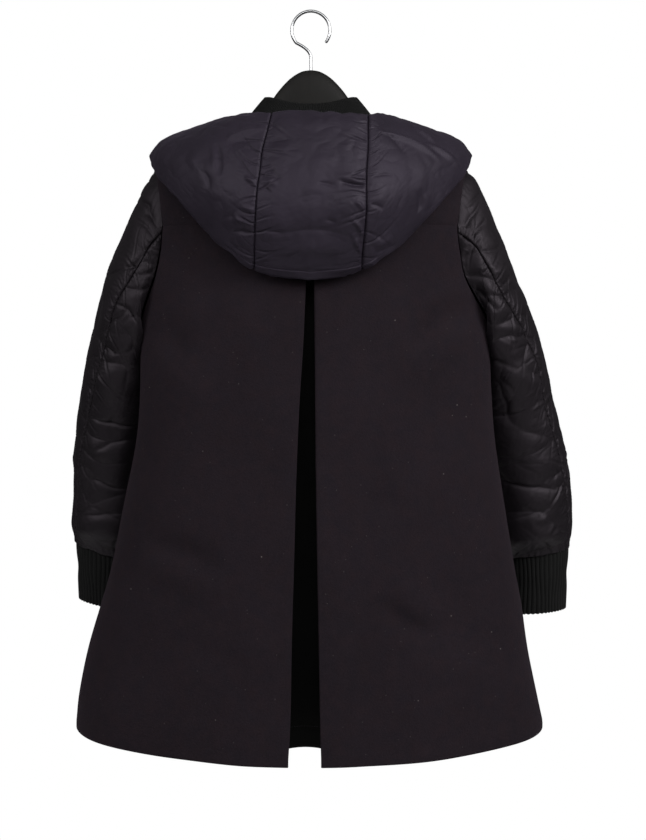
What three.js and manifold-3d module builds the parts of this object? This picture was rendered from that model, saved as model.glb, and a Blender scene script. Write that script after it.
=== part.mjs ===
// An A-line coat on a contoured hanger. The body is wool: a back yoke, two back panels that fold into an
// inverted pleat over an underlay, and two fronts that lap at the centre. The two-piece sleeves and the
// three-panel hood, which lies open down the back, are padded nylon. Collar and cuffs are rib knit. The
// hanger is moulded plastic with a steel wire hook.
// Millimetres, +Z up. The back of the coat faces -Y and the wearer's right is +X. Heights in the tables are
// above the hem at centre back, and the finished group hangs from the origin by its hook.

import * as THREE from 'three';
import { mergeVertices } from 'three/addons/utils/BufferGeometryUtils.js';
import Module from 'manifold-3d';

// Driving dimensions
const RAIL_HEIGHT = 910;      // inner top of the hook above the hem
const SEAM_GAP = 0.3;         // between pieces that are sewn together
const WOOL = 3;               // body cloth
const UNDERLAY_CLOTH = 2.2;
const RIB = 4;                // doubled rib knit
const HOOD_WALL = 10;         // padded
const SLEEVE_WALL = 10;       // padded
const SLEEVE_SEAM_WALL = 3.4; // padded cloth pressed flat by a seam
const HEM = -7;               // centre back hem
const HEM_RISE = 15;          // side hem above it
const UNDERARM = 515;
const YOKE_SEAM = 641;
const SECTION_POWER = 0.95;   // 1 is an ellipse, less is squarer
const FRONT_LAP = 20;         // each front passes the centre by this much
const LAP_STEP = 4.2;         // the left front lies this far under the right one
const PLEAT_RETURN = 60;      // depth of the pleat fold
const PLEAT_NOSE = 6.8;       // thickness of the folded edge where the pleat is shut, half of it at the hem
const UNDERLAY_WIDTH = 126;   // flat, between the ends of the two returns
const UNDERLAY_GAP = 0.4;     // between the underlay and the returns
const UNDERLAY_HEM = 5;       // underlay hem above the coat hem
const UNDERLAY_COLUMNS = 8;
const PANEL_COLUMNS = 10;     // facets across each body panel
const NECK_SHARE = 0.5;       // share of a top row that runs along the neck; the rest is the shoulder
const SHOULDER_CROWN = 3;
const SHOULDER_ROLL = 6;      // the cloth stands out this far before it turns over the shoulder
const SHOULDER_TURN = 4;      // and turns this far below the ridge
const CENTRE_BELLY = 4;       // fullness at the centre between yoke seam and neck

// Body: half widths left and right, depth of back and front, by height
const BODY = [
  // height, left, right, back, front
  [0, 302, 298, 150, 138],
  [37, 298, 290, 148, 135],
  [96, 286, 278, 143, 130],
  [158, 268, 269, 137, 124],
  [200, 256, 261, 133, 120],
  [285, 239, 247, 124, 112],
  [372, 222, 234, 115, 104],
  [440, 217, 229, 109, 98],
  [515, 217, 226, 102, 92],
  [580, 215, 217, 98, 89],
  [641, 213, 214, 93, 86],
];

// Armhole edge below the yoke seam: its distance from the centre line
const ARMHOLE = [
  // height, left, right
  [515, 217, 226],
  [530, 212, 219],
  [552, 203, 205],
  [580, 192, 190],
  [610, 185, 184],
  [632, 183, 181],
  [641, 182, 181],
];

const NECK_BACK = new THREE.Vector3(0, -72, 748);
const NECK_FRONT = new THREE.Vector3(0, 78, 716);
const NECK_POINT = new THREE.Vector3(92, -2, 760);
const SHOULDER_POINT = new THREE.Vector3(198, 6, 714);

// Pleat: where the folded edges stand, and how far the returns open, by height
const PLEAT = [
  // height, left edge, right edge, opening angle
  [0, 26, 13, 61],
  [48, 23.5, 11.8, 58],
  [146, 21.7, 10, 52],
  [243, 19, 8.2, 45],
  [337, 16.6, 6.7, 37],
  [423, 13, 5.9, 28],
  [498, 8.3, 5.3, 20],
  [573, 5, 4.2, 11],
  [641, 1.5, 1.5, 2],
];

// Sleeve rings: outermost and innermost point, middle and half depth from back to front, how far the sides
// bow towards the body, and where the back seam stands, in degrees from the outermost point
const SLEEVE_RIGHT = [
  // outer x, outer z, inner x, inner z, middle y, half depth, bow, seam
  [215, 692, 233, 503, 4, 60, 18, 80],
  [240, 638, 231, 483, 12, 67, 9, 75],
  [262, 587, 229, 462, 26, 71, 5, 68],
  [286, 533, 226, 434, 43, 71, 2, 56],
  [306, 481, 223, 402, 58, 69, 0, 47],
  [322, 418, 221, 360, 74, 65, 0, 41],
  [339, 360, 231, 318, 86, 61, 0, 36],
  [350, 300, 240, 272, 95, 58, 0, 31],
  [351, 250, 246, 234, 101, 54, 0, 26],
  [343, 227, 262, 215, 105, 33, 0, 24],
];
const SLEEVE_LEFT = [
  // outer x, outer z, inner x, inner z, middle y, half depth, bow, seam
  [213, 692, 223, 503, 4, 60, 18, 80],
  [239, 638, 220, 483, 12, 67, 9, 75],
  [262, 590, 218, 462, 26, 71, 5, 68],
  [279, 533, 214, 434, 43, 71, 2, 56],
  [295, 478, 212, 400, 58, 69, 0, 47],
  [308, 418, 209, 360, 74, 65, 0, 41],
  [318, 352, 212, 312, 86, 61, 0, 36],
  [321, 300, 213, 272, 95, 58, 0, 31],
  [323, 250, 218, 234, 101, 54, 0, 26],
  [315, 227, 234, 213, 105, 33, 0, 24],
];
const CUFF_RIGHT = [
  // outer x, outer z, inner x, inner z, middle y, half depth
  [342, 226, 263, 214, 105, 32],
  [341, 186, 262, 178, 108, 30],
  [340, 144, 263, 137, 110, 31],
];
const CUFF_LEFT = [
  // outer x, outer z, inner x, inner z, middle y, half depth
  [314, 226, 235, 212, 105, 32],
  [313, 188, 235, 178, 108, 30],
  [312, 150, 236, 141, 110, 31],
];

// Collar rim above the neckline, by angle round the neck from centre back
const COLLAR_RIM = [
  // angle, x, y, z
  [0, 0, -56, 788],
  [50, 46, -40, 800],
  [90, 59, -1, 805],
  [135, 47, 42, 786],
  [180, 0, 64, 757],
];

// Hood wall, middle of its thickness: from the rim over the outside, round the fold and up inside to the neck
const HOOD = [
  // station, then x, y, z of: rim, shoulder, belly, fold, lining, neck
  [0, 0, -119, 763, 0, -132, 735, 0, -143, 648, 0, -124, 576, 0, -101, 640, 0, -81, 752],
  [1, 60, -112, 764, 61, -125, 737, 64, -138, 652, 65, -120, 582, 60, -98, 645, 50, -76, 756],
  [2, 84, -72, 772, 98, -93, 750, 111, -116, 680, 106, -109, 614, 96, -92, 662, 80, -55, 761],
  [3, 96, -40, 776, 130, -62, 758, 153, -88, 706, 149, -87, 657, 134, -70, 690, 93, -36, 764],
  [4, 100, -14, 777, 146, -32, 762, 184, -50, 726, 187, -49, 700, 160, -35, 722, 99, -12, 765],
  [5, 100, 8, 775, 150, 4, 762, 186, 0, 745, 198, -3, 730, 180, 4, 735, 100, 6, 766],
  [6, 96, 36, 764, 130, 44, 745, 158, 50, 722, 166, 52, 706, 146, 50, 716, 93, 32, 757],
  [7, 76, 62, 747, 92, 78, 733, 104, 88, 716, 106, 90, 703, 95, 86, 708, 76, 64, 740],
  [8, 62, 76, 740, 72, 86, 737, 80, 95, 727, 80, 97, 715, 71, 90, 708, 62, 79, 721],
];
const HOOD_SEAM_STATION = 1;
const HOOD_LAST_STATION = 8;
const HOOD_LEAN = 11;         // the centre panel's top stands this far to the wearer's right
const HOOD_SECTION_POINTS = 14;
const HOOD_CLEARANCE = 2.2;   // between hood and shoulder
const HOOD_STATION_STEPS = 32;
const HOOD_OUTER_LIFT = 1.6;  // walls between the shoulder and the middle of the hood's outer layer
const HOOD_INNER_LIFT = 0.5;  // and of its inner layer
const HOOD_FOLD = [0.35, 0.7]; // shares of a section between which the outer layer turns into the inner one

// Hanger: height of its top, its own height and its thickness, by distance from the centre
const HANGER = [
  // distance, top, height, thickness
  [0, 839, 88, 22],
  [12, 836.8, 88, 22],
  [26, 828.4, 82, 21],
  [40, 814, 72, 20],
  [50, 800, 62, 20],
  [62, 779, 46, 20],
  [74, 754, 28, 21],
  [95, 741, 24, 24],
  [130, 728, 27, 33],
  [160, 715, 31, 40],
  [174, 708, 30, 38],
  [180, 702, 22, 28],
];
const HANGER_SWEEP = 0.06;    // the arms reach forward by this share of their length
const HANGER_SQUARENESS = 0.8; // of its section: 1 is an ellipse, less is squarer
const HANGER_FACETS = 14;
const WIRE_RADIUS = 1.9;
const WIRE_FACETS = 5;        // in each quarter
const HOOK_INNER_RADIUS = 22;
const HOOK_STEM_FOOT = 822;
const HOOK_BEND = 10;         // the wire leaves its stem this far below the circle
const HOOK_START_ANGLE = 220;
const HOOK_END_ANGLE = -35;
const HOOK_STEPS = 64;
const BORE_HEIGHT = 80;       // of the tool that cuts the stem's hole
const BORE_FACETS = 16;

const SIDES = { left: -1, right: 1 };
const HALVES = { back: -1, front: 1 };
const COLOURS = {
  wool: 0x221d22,
  underlay: 0x080808,
  hood: 0x332f38,
  sleeve: 0x232125,
  rib: 0x151415,
  hanger: 0x252525,
  steel: 0xb8babd,
};

// --- Tables, mixing and walls --------------------------------------------------------------------------

const mix = (a, b, t) => a + (b - a) * t;
const radians = THREE.MathUtils.degToRad;
const point = (x, y, z) => new THREE.Vector3(x, y, z);
const average = (points) => points.reduce((sum, p) => sum.add(p), point(0, 0, 0)).divideScalar(points.length);

function steps(count, from = 0, to = 1) {
  return Array.from({ length: count + 1 }, (_, i) => mix(from, to, i / count));
}

// Smooth value of one column of a table whose first column rises
function column(table, index, at) {
  const last = table.length - 1;
  let i = 0;
  while (i < last - 1 && at > table[i + 1][0]) i += 1;
  const [low, high] = [table[i], table[i + 1]];
  const slope = (k) => {
    const [a, b] = [table[Math.max(k - 1, 0)], table[Math.min(k + 1, last)]];
    return (b[index] - a[index]) / (b[0] - a[0]);
  };
  const span = high[0] - low[0];
  const t = THREE.MathUtils.clamp((at - low[0]) / span, 0, 1);
  const [t2, t3] = [t * t, t * t * t];
  return (2 * t3 - 3 * t2 + 1) * low[index] + (t3 - 2 * t2 + t) * span * slope(i)
    + (3 * t2 - 2 * t3) * high[index] + (t3 - t2) * span * slope(i + 1);
}

// Rows without a rising first column are read by their place in the table
function ringColumn(table, index, at) {
  return column(table.map((row, i) => [i, ...row]), index + 1, at);
}

// Outward directions of a grid of points, rows by columns
function gridNormals(grid, outward) {
  const rows = grid.length - 1;
  const columns = grid[0].length - 1;
  return grid.map((row, i) => row.map((_, j) => {
    const along = grid[i][Math.min(j + 1, columns)].clone().sub(grid[i][Math.max(j - 1, 0)]);
    const up = grid[Math.min(i + 1, rows)][j].clone().sub(grid[Math.max(i - 1, 0)][j]);
    return along.cross(up).normalize().multiplyScalar(outward);
  }));
}

// Edge points move in, by half a seam gap unless told, so that two pieces that share a seam line stay apart
function trimEdges(grid, trim = SEAM_GAP / 2) {
  const rows = grid.length - 1;
  const columns = grid[0].length - 1;
  const pull = (p, q) => p.add(q.clone().sub(p).setLength(trim));
  grid.forEach((row) => {
    pull(row[0], row[1]);
    pull(row[columns], row[columns - 1]);
  });
  for (let j = 0; j <= columns; j += 1) {
    pull(grid[0][j], grid[1][j]);
    pull(grid[rows][j], grid[rows - 1][j]);
  }
  return grid;
}

// Closed wall between an outer and an inner grid; around joins the last column to the first
function wallBetween(outer, inner, around) {
  const rows = outer.length - 1;
  const width = outer[0].length;
  const columns = around ? width : width - 1;
  const size = outer.length * width;
  const vertices = [...outer.flat(), ...inner.flat()];
  const at = (face, i, j) => face * size + i * width + (j % width);
  const faces = [];
  const quad = (a, b, c, d) => faces.push(a, b, c, a, c, d);
  for (let i = 0; i < rows; i += 1) {
    for (let j = 0; j < columns; j += 1) {
      quad(at(0, i, j), at(0, i, j + 1), at(0, i + 1, j + 1), at(0, i + 1, j));
      quad(at(1, i, j), at(1, i + 1, j), at(1, i + 1, j + 1), at(1, i, j + 1));
    }
  }
  for (let j = 0; j < columns; j += 1) {
    quad(at(0, 0, j), at(1, 0, j), at(1, 0, j + 1), at(0, 0, j + 1));
    quad(at(0, rows, j), at(0, rows, j + 1), at(1, rows, j + 1), at(1, rows, j));
  }
  for (let i = 0; i < rows && !around; i += 1) {
    quad(at(0, i, 0), at(0, i + 1, 0), at(1, i + 1, 0), at(1, i, 0));
    quad(at(0, i, columns), at(1, i, columns), at(1, i + 1, columns), at(0, i + 1, columns));
  }
  return solid(vertices, faces);
}

function solid(vertices, faces) {
  const volume = faces.reduce((sum, _, k) => {
    if (k % 3) return sum;
    const [a, b, c] = [faces[k], faces[k + 1], faces[k + 2]].map((index) => vertices[index]);
    return sum + a.dot(b.clone().cross(c));
  }, 0);
  const geometry = new THREE.BufferGeometry();
  geometry.setAttribute('position', new THREE.Float32BufferAttribute(vertices.flatMap((p) => p.toArray()), 3));
  geometry.setIndex(volume > 0 ? faces : faces.toReversed());
  return geometry;
}

// Wall of even thickness behind a grid of outer points. bound turns the outward direction at an edge, so that
// two pieces that meet there are cut along one face.
function wall(grid, thickness, outward, bound = () => {}) {
  const normals = gridNormals(grid, outward);
  const [lastRow, lastColumn] = [grid.length - 1, grid[0].length - 1];
  normals.forEach((row, i) => row.forEach((normal, j) => {
    bound(normal, i / lastRow, j / lastColumn, grid[i][j]);
    normal.normalize();
  }));
  const trimmed = trimEdges(grid);
  const inner = trimmed.map((row, i) => row.map((p, j) => (
    p.clone().addScaledVector(normals[i][j], -thickness)
  )));
  return wallBetween(trimmed, inner, false);
}

// --- Body ----------------------------------------------------------------------------------------------

const BODY_COLUMN = { left: 1, right: 2, back: 3, front: 4 };
const rounded = (value) => Math.sign(value) * Math.abs(value) ** SECTION_POWER;

// One level row of the body from centre (0) to side seam or armhole (1), below the yoke seam
function bodyRow(side, half, height) {
  const depth = HALVES[half] * column(BODY, BODY_COLUMN[half], height);
  const width = column(BODY, BODY_COLUMN[side], height);
  const angleOf = (x) => Math.asin(Math.min(x / width, 1) ** (1 / SECTION_POWER));
  const atArmhole = height > UNDERARM;
  const end = atArmhole ? angleOf(column(ARMHOLE, BODY_COLUMN[side], height)) : Math.PI / 2;
  const rise = HEM_RISE * Math.max(0, UNDERARM - height) / (UNDERARM - HEM);
  const place = (share) => {
    const across = rounded(Math.sin(share * end));
    const y = depth * rounded(Math.cos(share * end));
    return point(SIDES[side] * width * across, y, height + rise * across ** 2);
  };
  return { place, shareOf: (x) => angleOf(x) / end };
}

// Neckline and shoulder seam, from centre (0) to the shoulder point (1)
function topPoint(side, half, share) {
  const neck = half === 'back' ? NECK_BACK : NECK_FRONT;
  const sign = SIDES[side];
  if (share <= NECK_SHARE) {
    const t = share / NECK_SHARE;
    const angle = t * Math.PI / 2;
    const y = mix(NECK_POINT.y, neck.y, Math.cos(angle));
    return point(sign * NECK_POINT.x * Math.sin(angle), y, mix(neck.z, NECK_POINT.z, t * t));
  }
  const t = (share - NECK_SHARE) / (1 - NECK_SHARE);
  const p = NECK_POINT.clone().lerp(SHOULDER_POINT, t);
  return point(sign * p.x, p.y, p.z + SHOULDER_CROWN * Math.sin(Math.PI * t));
}

// Above the yoke seam the cloth rolls over the shoulder; climb runs from 0 at the seam to 1 at the top
function shoulderPoint(side, half, share, climb) {
  const low = bodyRow(side, half, YOKE_SEAM).place(share);
  const high = topPoint(side, half, share);
  const roll = THREE.MathUtils.smoothstep(Math.abs(share), 0, NECK_SHARE);
  const bend = low.clone().lerp(high, 0.5);
  bend.y = mix(bend.y + CENTRE_BELLY * HALVES[half], low.y - SHOULDER_ROLL * HALVES[half], roll);
  bend.z = mix(bend.z, high.z - SHOULDER_TURN, roll);
  const a = low.lerp(bend, climb);
  const b = bend.clone().lerp(high, climb);
  return a.lerp(b, climb);
}

// At the top row a wall is cut level along the neck, and square to the ridge along the shoulder
function alongTop(normal, share) {
  if (share < NECK_SHARE - 0.01) normal.setZ(0);
  else normal.setY(0);
}

const LOWER_ROWS = [HEM, 70, 158, 250, 345, 440, UNDERARM];
const ARMHOLE_ROWS = ARMHOLE.slice(1).map((row) => row[0]);
const YOKE_CLIMBS = steps(4);
const PLEAT_COLUMN = { left: 1, right: 2, angle: 3 };
const PLEAT_WIDEST = PLEAT[0][PLEAT_COLUMN.angle];

// Folded edge, return and crease of the pleat, from the end of the return to the panel
function pleatFold(side, height) {
  const row = bodyRow(side, 'back', height);
  const edge = column(PLEAT, PLEAT_COLUMN[side], height);
  const angle = column(PLEAT, PLEAT_COLUMN.angle, height);
  const crease = row.place(row.shareOf(edge));
  const nose = crease.clone().add(point(0, mix(PLEAT_NOSE, PLEAT_NOSE / 2, angle / PLEAT_WIDEST), 0));
  const away = point(SIDES[side] * Math.cos(radians(angle)), Math.sin(radians(angle)), 0);
  const end = nose.clone().addScaledVector(away, PLEAT_RETURN);
  return { end, middle: nose.clone().lerp(end, 0.5), nose, crease, share: row.shareOf(edge), row };
}

function backPanel(side) {
  const rows = [...LOWER_ROWS, ...ARMHOLE_ROWS].map((height) => {
    const fold = pleatFold(side, height);
    const panel = steps(PANEL_COLUMNS, fold.share, 1).map(fold.row.place);
    return [fold.end, fold.middle, fold.nose, ...panel];
  });
  return wall(rows, WOOL, SIDES[side], (normal, up, across, p) => {
    if (up === 1 || up === 0) normal.setZ(0);
    if (across === 1 && p.z <= UNDERARM) normal.setY(0);
  });
}

// Height of a shallow arc over its chord
function arcRise(chord, length) {
  return Math.sqrt(Math.max(0, 3 / 8 * chord * (length - chord)));
}

function pleatUnderlay() {
  const rows = [UNDERLAY_HEM, ...LOWER_ROWS.slice(1), ...ARMHOLE_ROWS].map((height) => {
    const left = pleatFold('left', height).end;
    const right = pleatFold('right', height).end;
    const bow = arcRise(right.x - left.x, UNDERLAY_WIDTH);
    return steps(UNDERLAY_COLUMNS).map((t) => {
      const p = left.clone().lerp(right, t);
      return p.add(point(0, UNDERLAY_GAP + bow * Math.sin(Math.PI * t), 0));
    });
  });
  return wall(rows, UNDERLAY_CLOTH, 1, (normal) => normal.setZ(0));
}

function backYoke() {
  const rows = YOKE_CLIMBS.map((climb) => {
    const left = steps(PANEL_COLUMNS, 1, 0).map((share) => shoulderPoint('left', 'back', share, climb));
    const right = steps(PANEL_COLUMNS, 0, 1).map((share) => shoulderPoint('right', 'back', share, climb));
    return [...left, ...right.slice(1)];
  });
  return wall(rows, WOOL, 1, (normal, up, across) => {
    if (up === 0) normal.setZ(0);
    if (up === 1) alongTop(normal, Math.abs(2 * across - 1));
  });
}

// Fronts: the right one laps over the left, which steps back under it past the centre
function frontPanel(side) {
  const under = side === 'left';
  const place = (row, lapShare) => [-lapShare, ...steps(PANEL_COLUMNS)].map((share) => {
    const step = under ? LAP_STEP * (1 - THREE.MathUtils.smoothstep(share * PANEL_COLUMNS, 1, 2)) : 0;
    const p = row(share);
    return p.setY(p.y - step);
  });
  const lower = [...LOWER_ROWS, ...ARMHOLE_ROWS].map((height) => {
    const row = bodyRow(side, 'front', height);
    return place(row.place, row.shareOf(FRONT_LAP));
  });
  const lowLap = bodyRow(side, 'front', YOKE_SEAM).shareOf(FRONT_LAP);
  const highLap = NECK_SHARE * Math.asin(FRONT_LAP / NECK_POINT.x) / (Math.PI / 2);
  const upper = YOKE_CLIMBS.slice(1).map((climb) => place(
    (share) => shoulderPoint(side, 'front', share, climb),
    mix(lowLap, highLap, climb),
  ));
  return wall([...lower, ...upper], WOOL, -SIDES[side], (normal, up, across, p) => {
    if (up === 1) alongTop(normal, (across * (PANEL_COLUMNS + 1) - 1) / PANEL_COLUMNS);
    if (across === 1 && p.z <= UNDERARM) normal.setY(0);
  });
}

// --- Sleeves and cuffs ---------------------------------------------------------------------------------

// Armhole edge from the shoulder down the back to the underarm and up the front, without the repeated last point
function armholeLoop(side) {
  const upper = (half) => YOKE_CLIMBS.map((climb) => shoulderPoint(side, half, 1, climb));
  const heights = [UNDERARM, ...ARMHOLE_ROWS.slice(0, -1)];
  const lower = (half) => heights.map((height) => bodyRow(side, half, height).place(1));
  return [
    ...upper('back').reverse(), ...lower('back').reverse(),
    ...lower('front').slice(1), ...upper('front').slice(0, -1),
  ];
}

const BACK_SEAM = 5;          // loop points counted from the shoulder
const UNDERARM_SEAM = 10;
const FRONT_SEAM = 13;
const LOOP_POINTS = 20;
const SLEEVE_ROWS = 14;
const FRONT_SEAM_ANGLE = 240;
const RING_SEAM = 7;          // place of the seam angle in a sleeve row

function loopAngle(index, seam) {
  const marks = [
    [0, 0],
    [BACK_SEAM, seam],
    [UNDERARM_SEAM, 180],
    [FRONT_SEAM, FRONT_SEAM_ANGLE],
    [LOOP_POINTS, 360],
  ];
  const next = Math.max(1, marks.findIndex(([mark]) => mark >= index));
  const [[low, start], [high, end]] = [marks[next - 1], marks[next]];
  return radians(mix(start, end, (index - low) / (high - low)));
}

function ringPoint(side, ring, angle, shrink = 0) {
  const [outerX, outerZ, innerX, innerZ, middleY, halfDepth, bow = 0] = ring;
  const sign = SIDES[side];
  const middle = point(sign * (outerX + innerX) / 2, middleY, (outerZ + innerZ) / 2);
  const out = point(sign * (outerX - innerX) / 2, 0, (outerZ - innerZ) / 2);
  out.setLength(out.length() - shrink);
  middle.x -= sign * bow * Math.sin(angle) ** 2;
  middle.addScaledVector(out, Math.cos(angle));
  middle.y -= (halfDepth - shrink) * Math.sin(angle);
  return middle;
}

function sleeveGrids(side, table) {
  const loop = armholeLoop(side);
  const centre = average(loop);
  const towards = (p) => p.clone().add(centre.clone().sub(p).setLength(SLEEVE_SEAM_WALL));
  const places = steps(SLEEVE_ROWS, 0, table.length - 1);
  const rings = places.map((at) => table[0].map((_, index) => ringColumn(table, index, at)));
  const grid = (shrinkOf) => rings.map((ring, i) => Array.from({ length: LOOP_POINTS }, (_, index) => (
    ringPoint(side, ring, loopAngle(index, ring[RING_SEAM]), shrinkOf(i))
  )));
  const last = rings.length - 1;
  const padding = (i) => (i === last ? SLEEVE_SEAM_WALL : SLEEVE_WALL);
  const inner = [loop.map(towards), ...grid(padding)];
  loop.forEach((p) => p.setX(p.x + SIDES[side] * SEAM_GAP / 2));
  return { outer: [loop, ...grid(() => 0)], inner };
}

function sleevePiece(grids, from, to) {
  const cut = (grid) => trimEdges(grid.map((row) => Array.from({ length: to - from + 1 }, (_, i) => (
    row[(from + i) % LOOP_POINTS].clone()
  ))));
  return wallBetween(cut(grids.outer), cut(grids.inner), false);
}

const CUFF_ROWS = 3;
const CUFF_FACETS = 24;

function cuff(side, table) {
  const rows = steps(CUFF_ROWS, 0, table.length - 1);
  const face = (shrink) => {
    const grid = rows.map((at) => {
      const ring = table[0].map((_, index) => ringColumn(table, index, at));
      const angles = steps(CUFF_FACETS, 0, 2 * Math.PI).slice(0, -1);
      return angles.map((angle) => ringPoint(side, ring, angle, shrink));
    });
    grid[0].forEach((p) => p.setZ(p.z - SEAM_GAP));
    return grid;
  };
  return wallBetween(face(0), face(RIB), true);
}

// --- Collar and hood -----------------------------------------------------------------------------------

// Neckline by angle from centre back, on the side that the sign gives
function neckPoint(sign, angle) {
  const side = sign < 0 ? 'left' : 'right';
  const half = angle <= 90 ? 'back' : 'front';
  return topPoint(side, half, NECK_SHARE * (angle <= 90 ? angle : 180 - angle) / 90);
}

const COLLAR_ROWS = 3;
const COLLAR_COLUMNS = 10;    // on each side of the centre back
const COLLAR_END_ANGLE = 179.3; // just short of the centre front, where the two ends meet

function collar() {
  const half = [...steps(COLLAR_COLUMNS, 0, 180).slice(0, -1), COLLAR_END_ANGLE];
  const angles = [...half.slice(1).reverse().map((angle) => -angle), ...half];
  const rows = steps(COLLAR_ROWS).map((climb) => angles.map((signed) => {
    const sign = Math.sign(signed) || 1;
    const angle = Math.abs(signed);
    const [x, y, z] = [1, 2, 3].map((index) => column(COLLAR_RIM, index, angle));
    const base = neckPoint(sign, angle).add(point(0, 0, SEAM_GAP));
    return base.lerp(point(sign * x, y, z), climb);
  }));
  return wall(rows, RIB, 1, (normal, up) => {
    if (up === 0) normal.setZ(0);
  });
}

// One section of the hood wall at a station, as points from the rim round the fold to the neck
function hoodSection(sign, station) {
  const lean = HOOD_LEAN * Math.max(0, 1 - (station / (2 * HOOD_SEAM_STATION)) ** 2);
  const controls = steps(5).map((share, k) => {
    const [x, y, z] = [0, 1, 2].map((axis) => column(HOOD, 1 + 3 * k + axis, station));
    return point(sign * x + lean * Math.max(0, 1 - 2 * share), y, z);
  });
  return new THREE.CatmullRomCurve3(controls, false, 'centripetal').getSpacedPoints(HOOD_SECTION_POINTS);
}

const REST_COLUMNS = 24;
const REST_ROWS = 12;
const SLEEVE_HEAD_ROWS = 5;

// Outer points of the shoulders and sleeve heads with their outward directions, for the hood to rest on
function shoulderSurface() {
  const shares = steps(REST_COLUMNS);
  const climbs = steps(REST_ROWS);
  const patches = Object.keys(SIDES).flatMap((side) => Object.keys(HALVES).map((half) => {
    const grid = climbs.map((climb) => shares.map((share) => shoulderPoint(side, half, share, climb)));
    return { grid, outward: -SIDES[side] * HALVES[half] };
  }));
  const heads = Object.entries({ left: SLEEVE_LEFT, right: SLEEVE_RIGHT }).map(([side, table]) => {
    const rows = sleeveGrids(side, table).outer.slice(0, SLEEVE_HEAD_ROWS);
    return { grid: rows.map((row) => [...row, row[0]]), outward: SIDES[side] };
  });
  return [...patches, ...heads].flatMap(({ grid, outward }) => {
    const normals = gridNormals(grid, outward);
    return grid.flatMap((row, i) => row.map((p, j) => ({ p, normal: normals[i][j] })));
  });
}

// A point nearer to the surface than the clearance moves out to it
function liftOff(p, surface, clearance) {
  const nearest = surface.reduce((best, sample) => {
    const distance = sample.p.distanceToSquared(p);
    return distance < best.distance ? { distance, sample } : best;
  }, { distance: Infinity }).sample;
  const height = p.clone().sub(nearest.p).dot(nearest.normal);
  return height < clearance ? p.addScaledVector(nearest.normal, clearance - height) : p;
}

// The whole hood wall, station by station; its outer layer also clears the layer inside it
function hoodGrids() {
  const surface = shoulderSurface();
  const stations = steps(HOOD_STATION_STEPS, -HOOD_LAST_STATION, HOOD_LAST_STATION);
  const middle = stations.map((signed) => {
    const section = hoodSection(Math.sign(signed) || 1, Math.abs(signed));
    return section.map((p, k) => {
      const inside = THREE.MathUtils.smoothstep(k / HOOD_SECTION_POINTS, ...HOOD_FOLD);
      return liftOff(p, surface, HOOD_CLEARANCE + HOOD_WALL * mix(HOOD_OUTER_LIFT, HOOD_INNER_LIFT, inside));
    });
  });
  const normals = gridNormals(middle, 1);
  const face = (offset) => middle.map((row, i) => row.map((p, j) => (
    p.clone().addScaledVector(normals[i][j], offset)
  )));
  return { stations, outer: face(HOOD_WALL / 2), inner: face(-HOOD_WALL / 2) };
}

function hoodPanel(grids, from, to) {
  const within = (_, i) => grids.stations[i] >= from && grids.stations[i] <= to;
  const cut = (grid) => trimEdges(grid.filter(within).map((row) => row.map((p) => p.clone())), SEAM_GAP);
  return wallBetween(cut(grids.outer), cut(grids.inner), false);
}

// --- Hanger --------------------------------------------------------------------------------------------

function hangerSection(x) {
  const distance = Math.abs(x);
  const [top, height, thickness] = [1, 2, 3].map((index) => column(HANGER, index, distance));
  const middle = HANGER_SWEEP * distance;
  const round = (value) => Math.sign(value) * Math.abs(value) ** HANGER_SQUARENESS;
  return steps(HANGER_FACETS, 0, 2 * Math.PI).slice(0, -1).map((angle) => {
    const y = middle + thickness / 2 * round(Math.sin(angle));
    return point(x, y, top - height / 2 + height / 2 * round(Math.cos(angle)));
  });
}

function hangerBody(wasm) {
  const places = HANGER.map((row) => row[0]);
  const rows = [...places.slice(1).reverse().map((x) => -x), ...places].map(hangerSection);
  const width = rows[0].length;
  const faces = [];
  for (let i = 0; i < rows.length - 1; i += 1) {
    for (let j = 0; j < width; j += 1) {
      const [a, b] = [i * width + j, i * width + (j + 1) % width];
      faces.push(a, b, b + width, a, b + width, a + width);
    }
  }
  const ends = [rows[0], rows.at(-1)].map(average);
  const first = rows.length * width;
  for (let j = 0; j < width; j += 1) {
    faces.push(first, (j + 1) % width, j);
    faces.push(first + 1, first - width + j, first - width + (j + 1) % width);
  }
  const arms = solid([...rows.flat(), ...ends], faces);
  const boreRadius = WIRE_RADIUS + SEAM_GAP;
  const bore = new THREE.CylinderGeometry(boreRadius, boreRadius, BORE_HEIGHT, BORE_FACETS);
  bore.rotateX(Math.PI / 2);
  bore.translate(0, 0, HOOK_STEM_FOOT - SEAM_GAP + BORE_HEIGHT / 2);
  return subtract(wasm, arms, bore);
}

const MERGE_DISTANCE = 1e-4;

function toManifold(wasm, geometry) {
  const bare = new THREE.BufferGeometry();
  bare.setAttribute('position', geometry.getAttribute('position'));
  bare.setIndex(geometry.getIndex());
  const merged = mergeVertices(bare, MERGE_DISTANCE);
  return new wasm.Manifold(new wasm.Mesh({
    numProp: 3,
    vertProperties: new Float32Array(merged.getAttribute('position').array),
    triVerts: new Uint32Array(merged.getIndex().array),
  }));
}

function subtract(wasm, geometry, tool) {
  const mesh = toManifold(wasm, geometry).subtract(toManifold(wasm, tool)).getMesh();
  const result = new THREE.BufferGeometry();
  result.setAttribute('position', new THREE.BufferAttribute(mesh.vertProperties, 3));
  result.setIndex(new THREE.BufferAttribute(mesh.triVerts, 1));
  return result;
}

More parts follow.
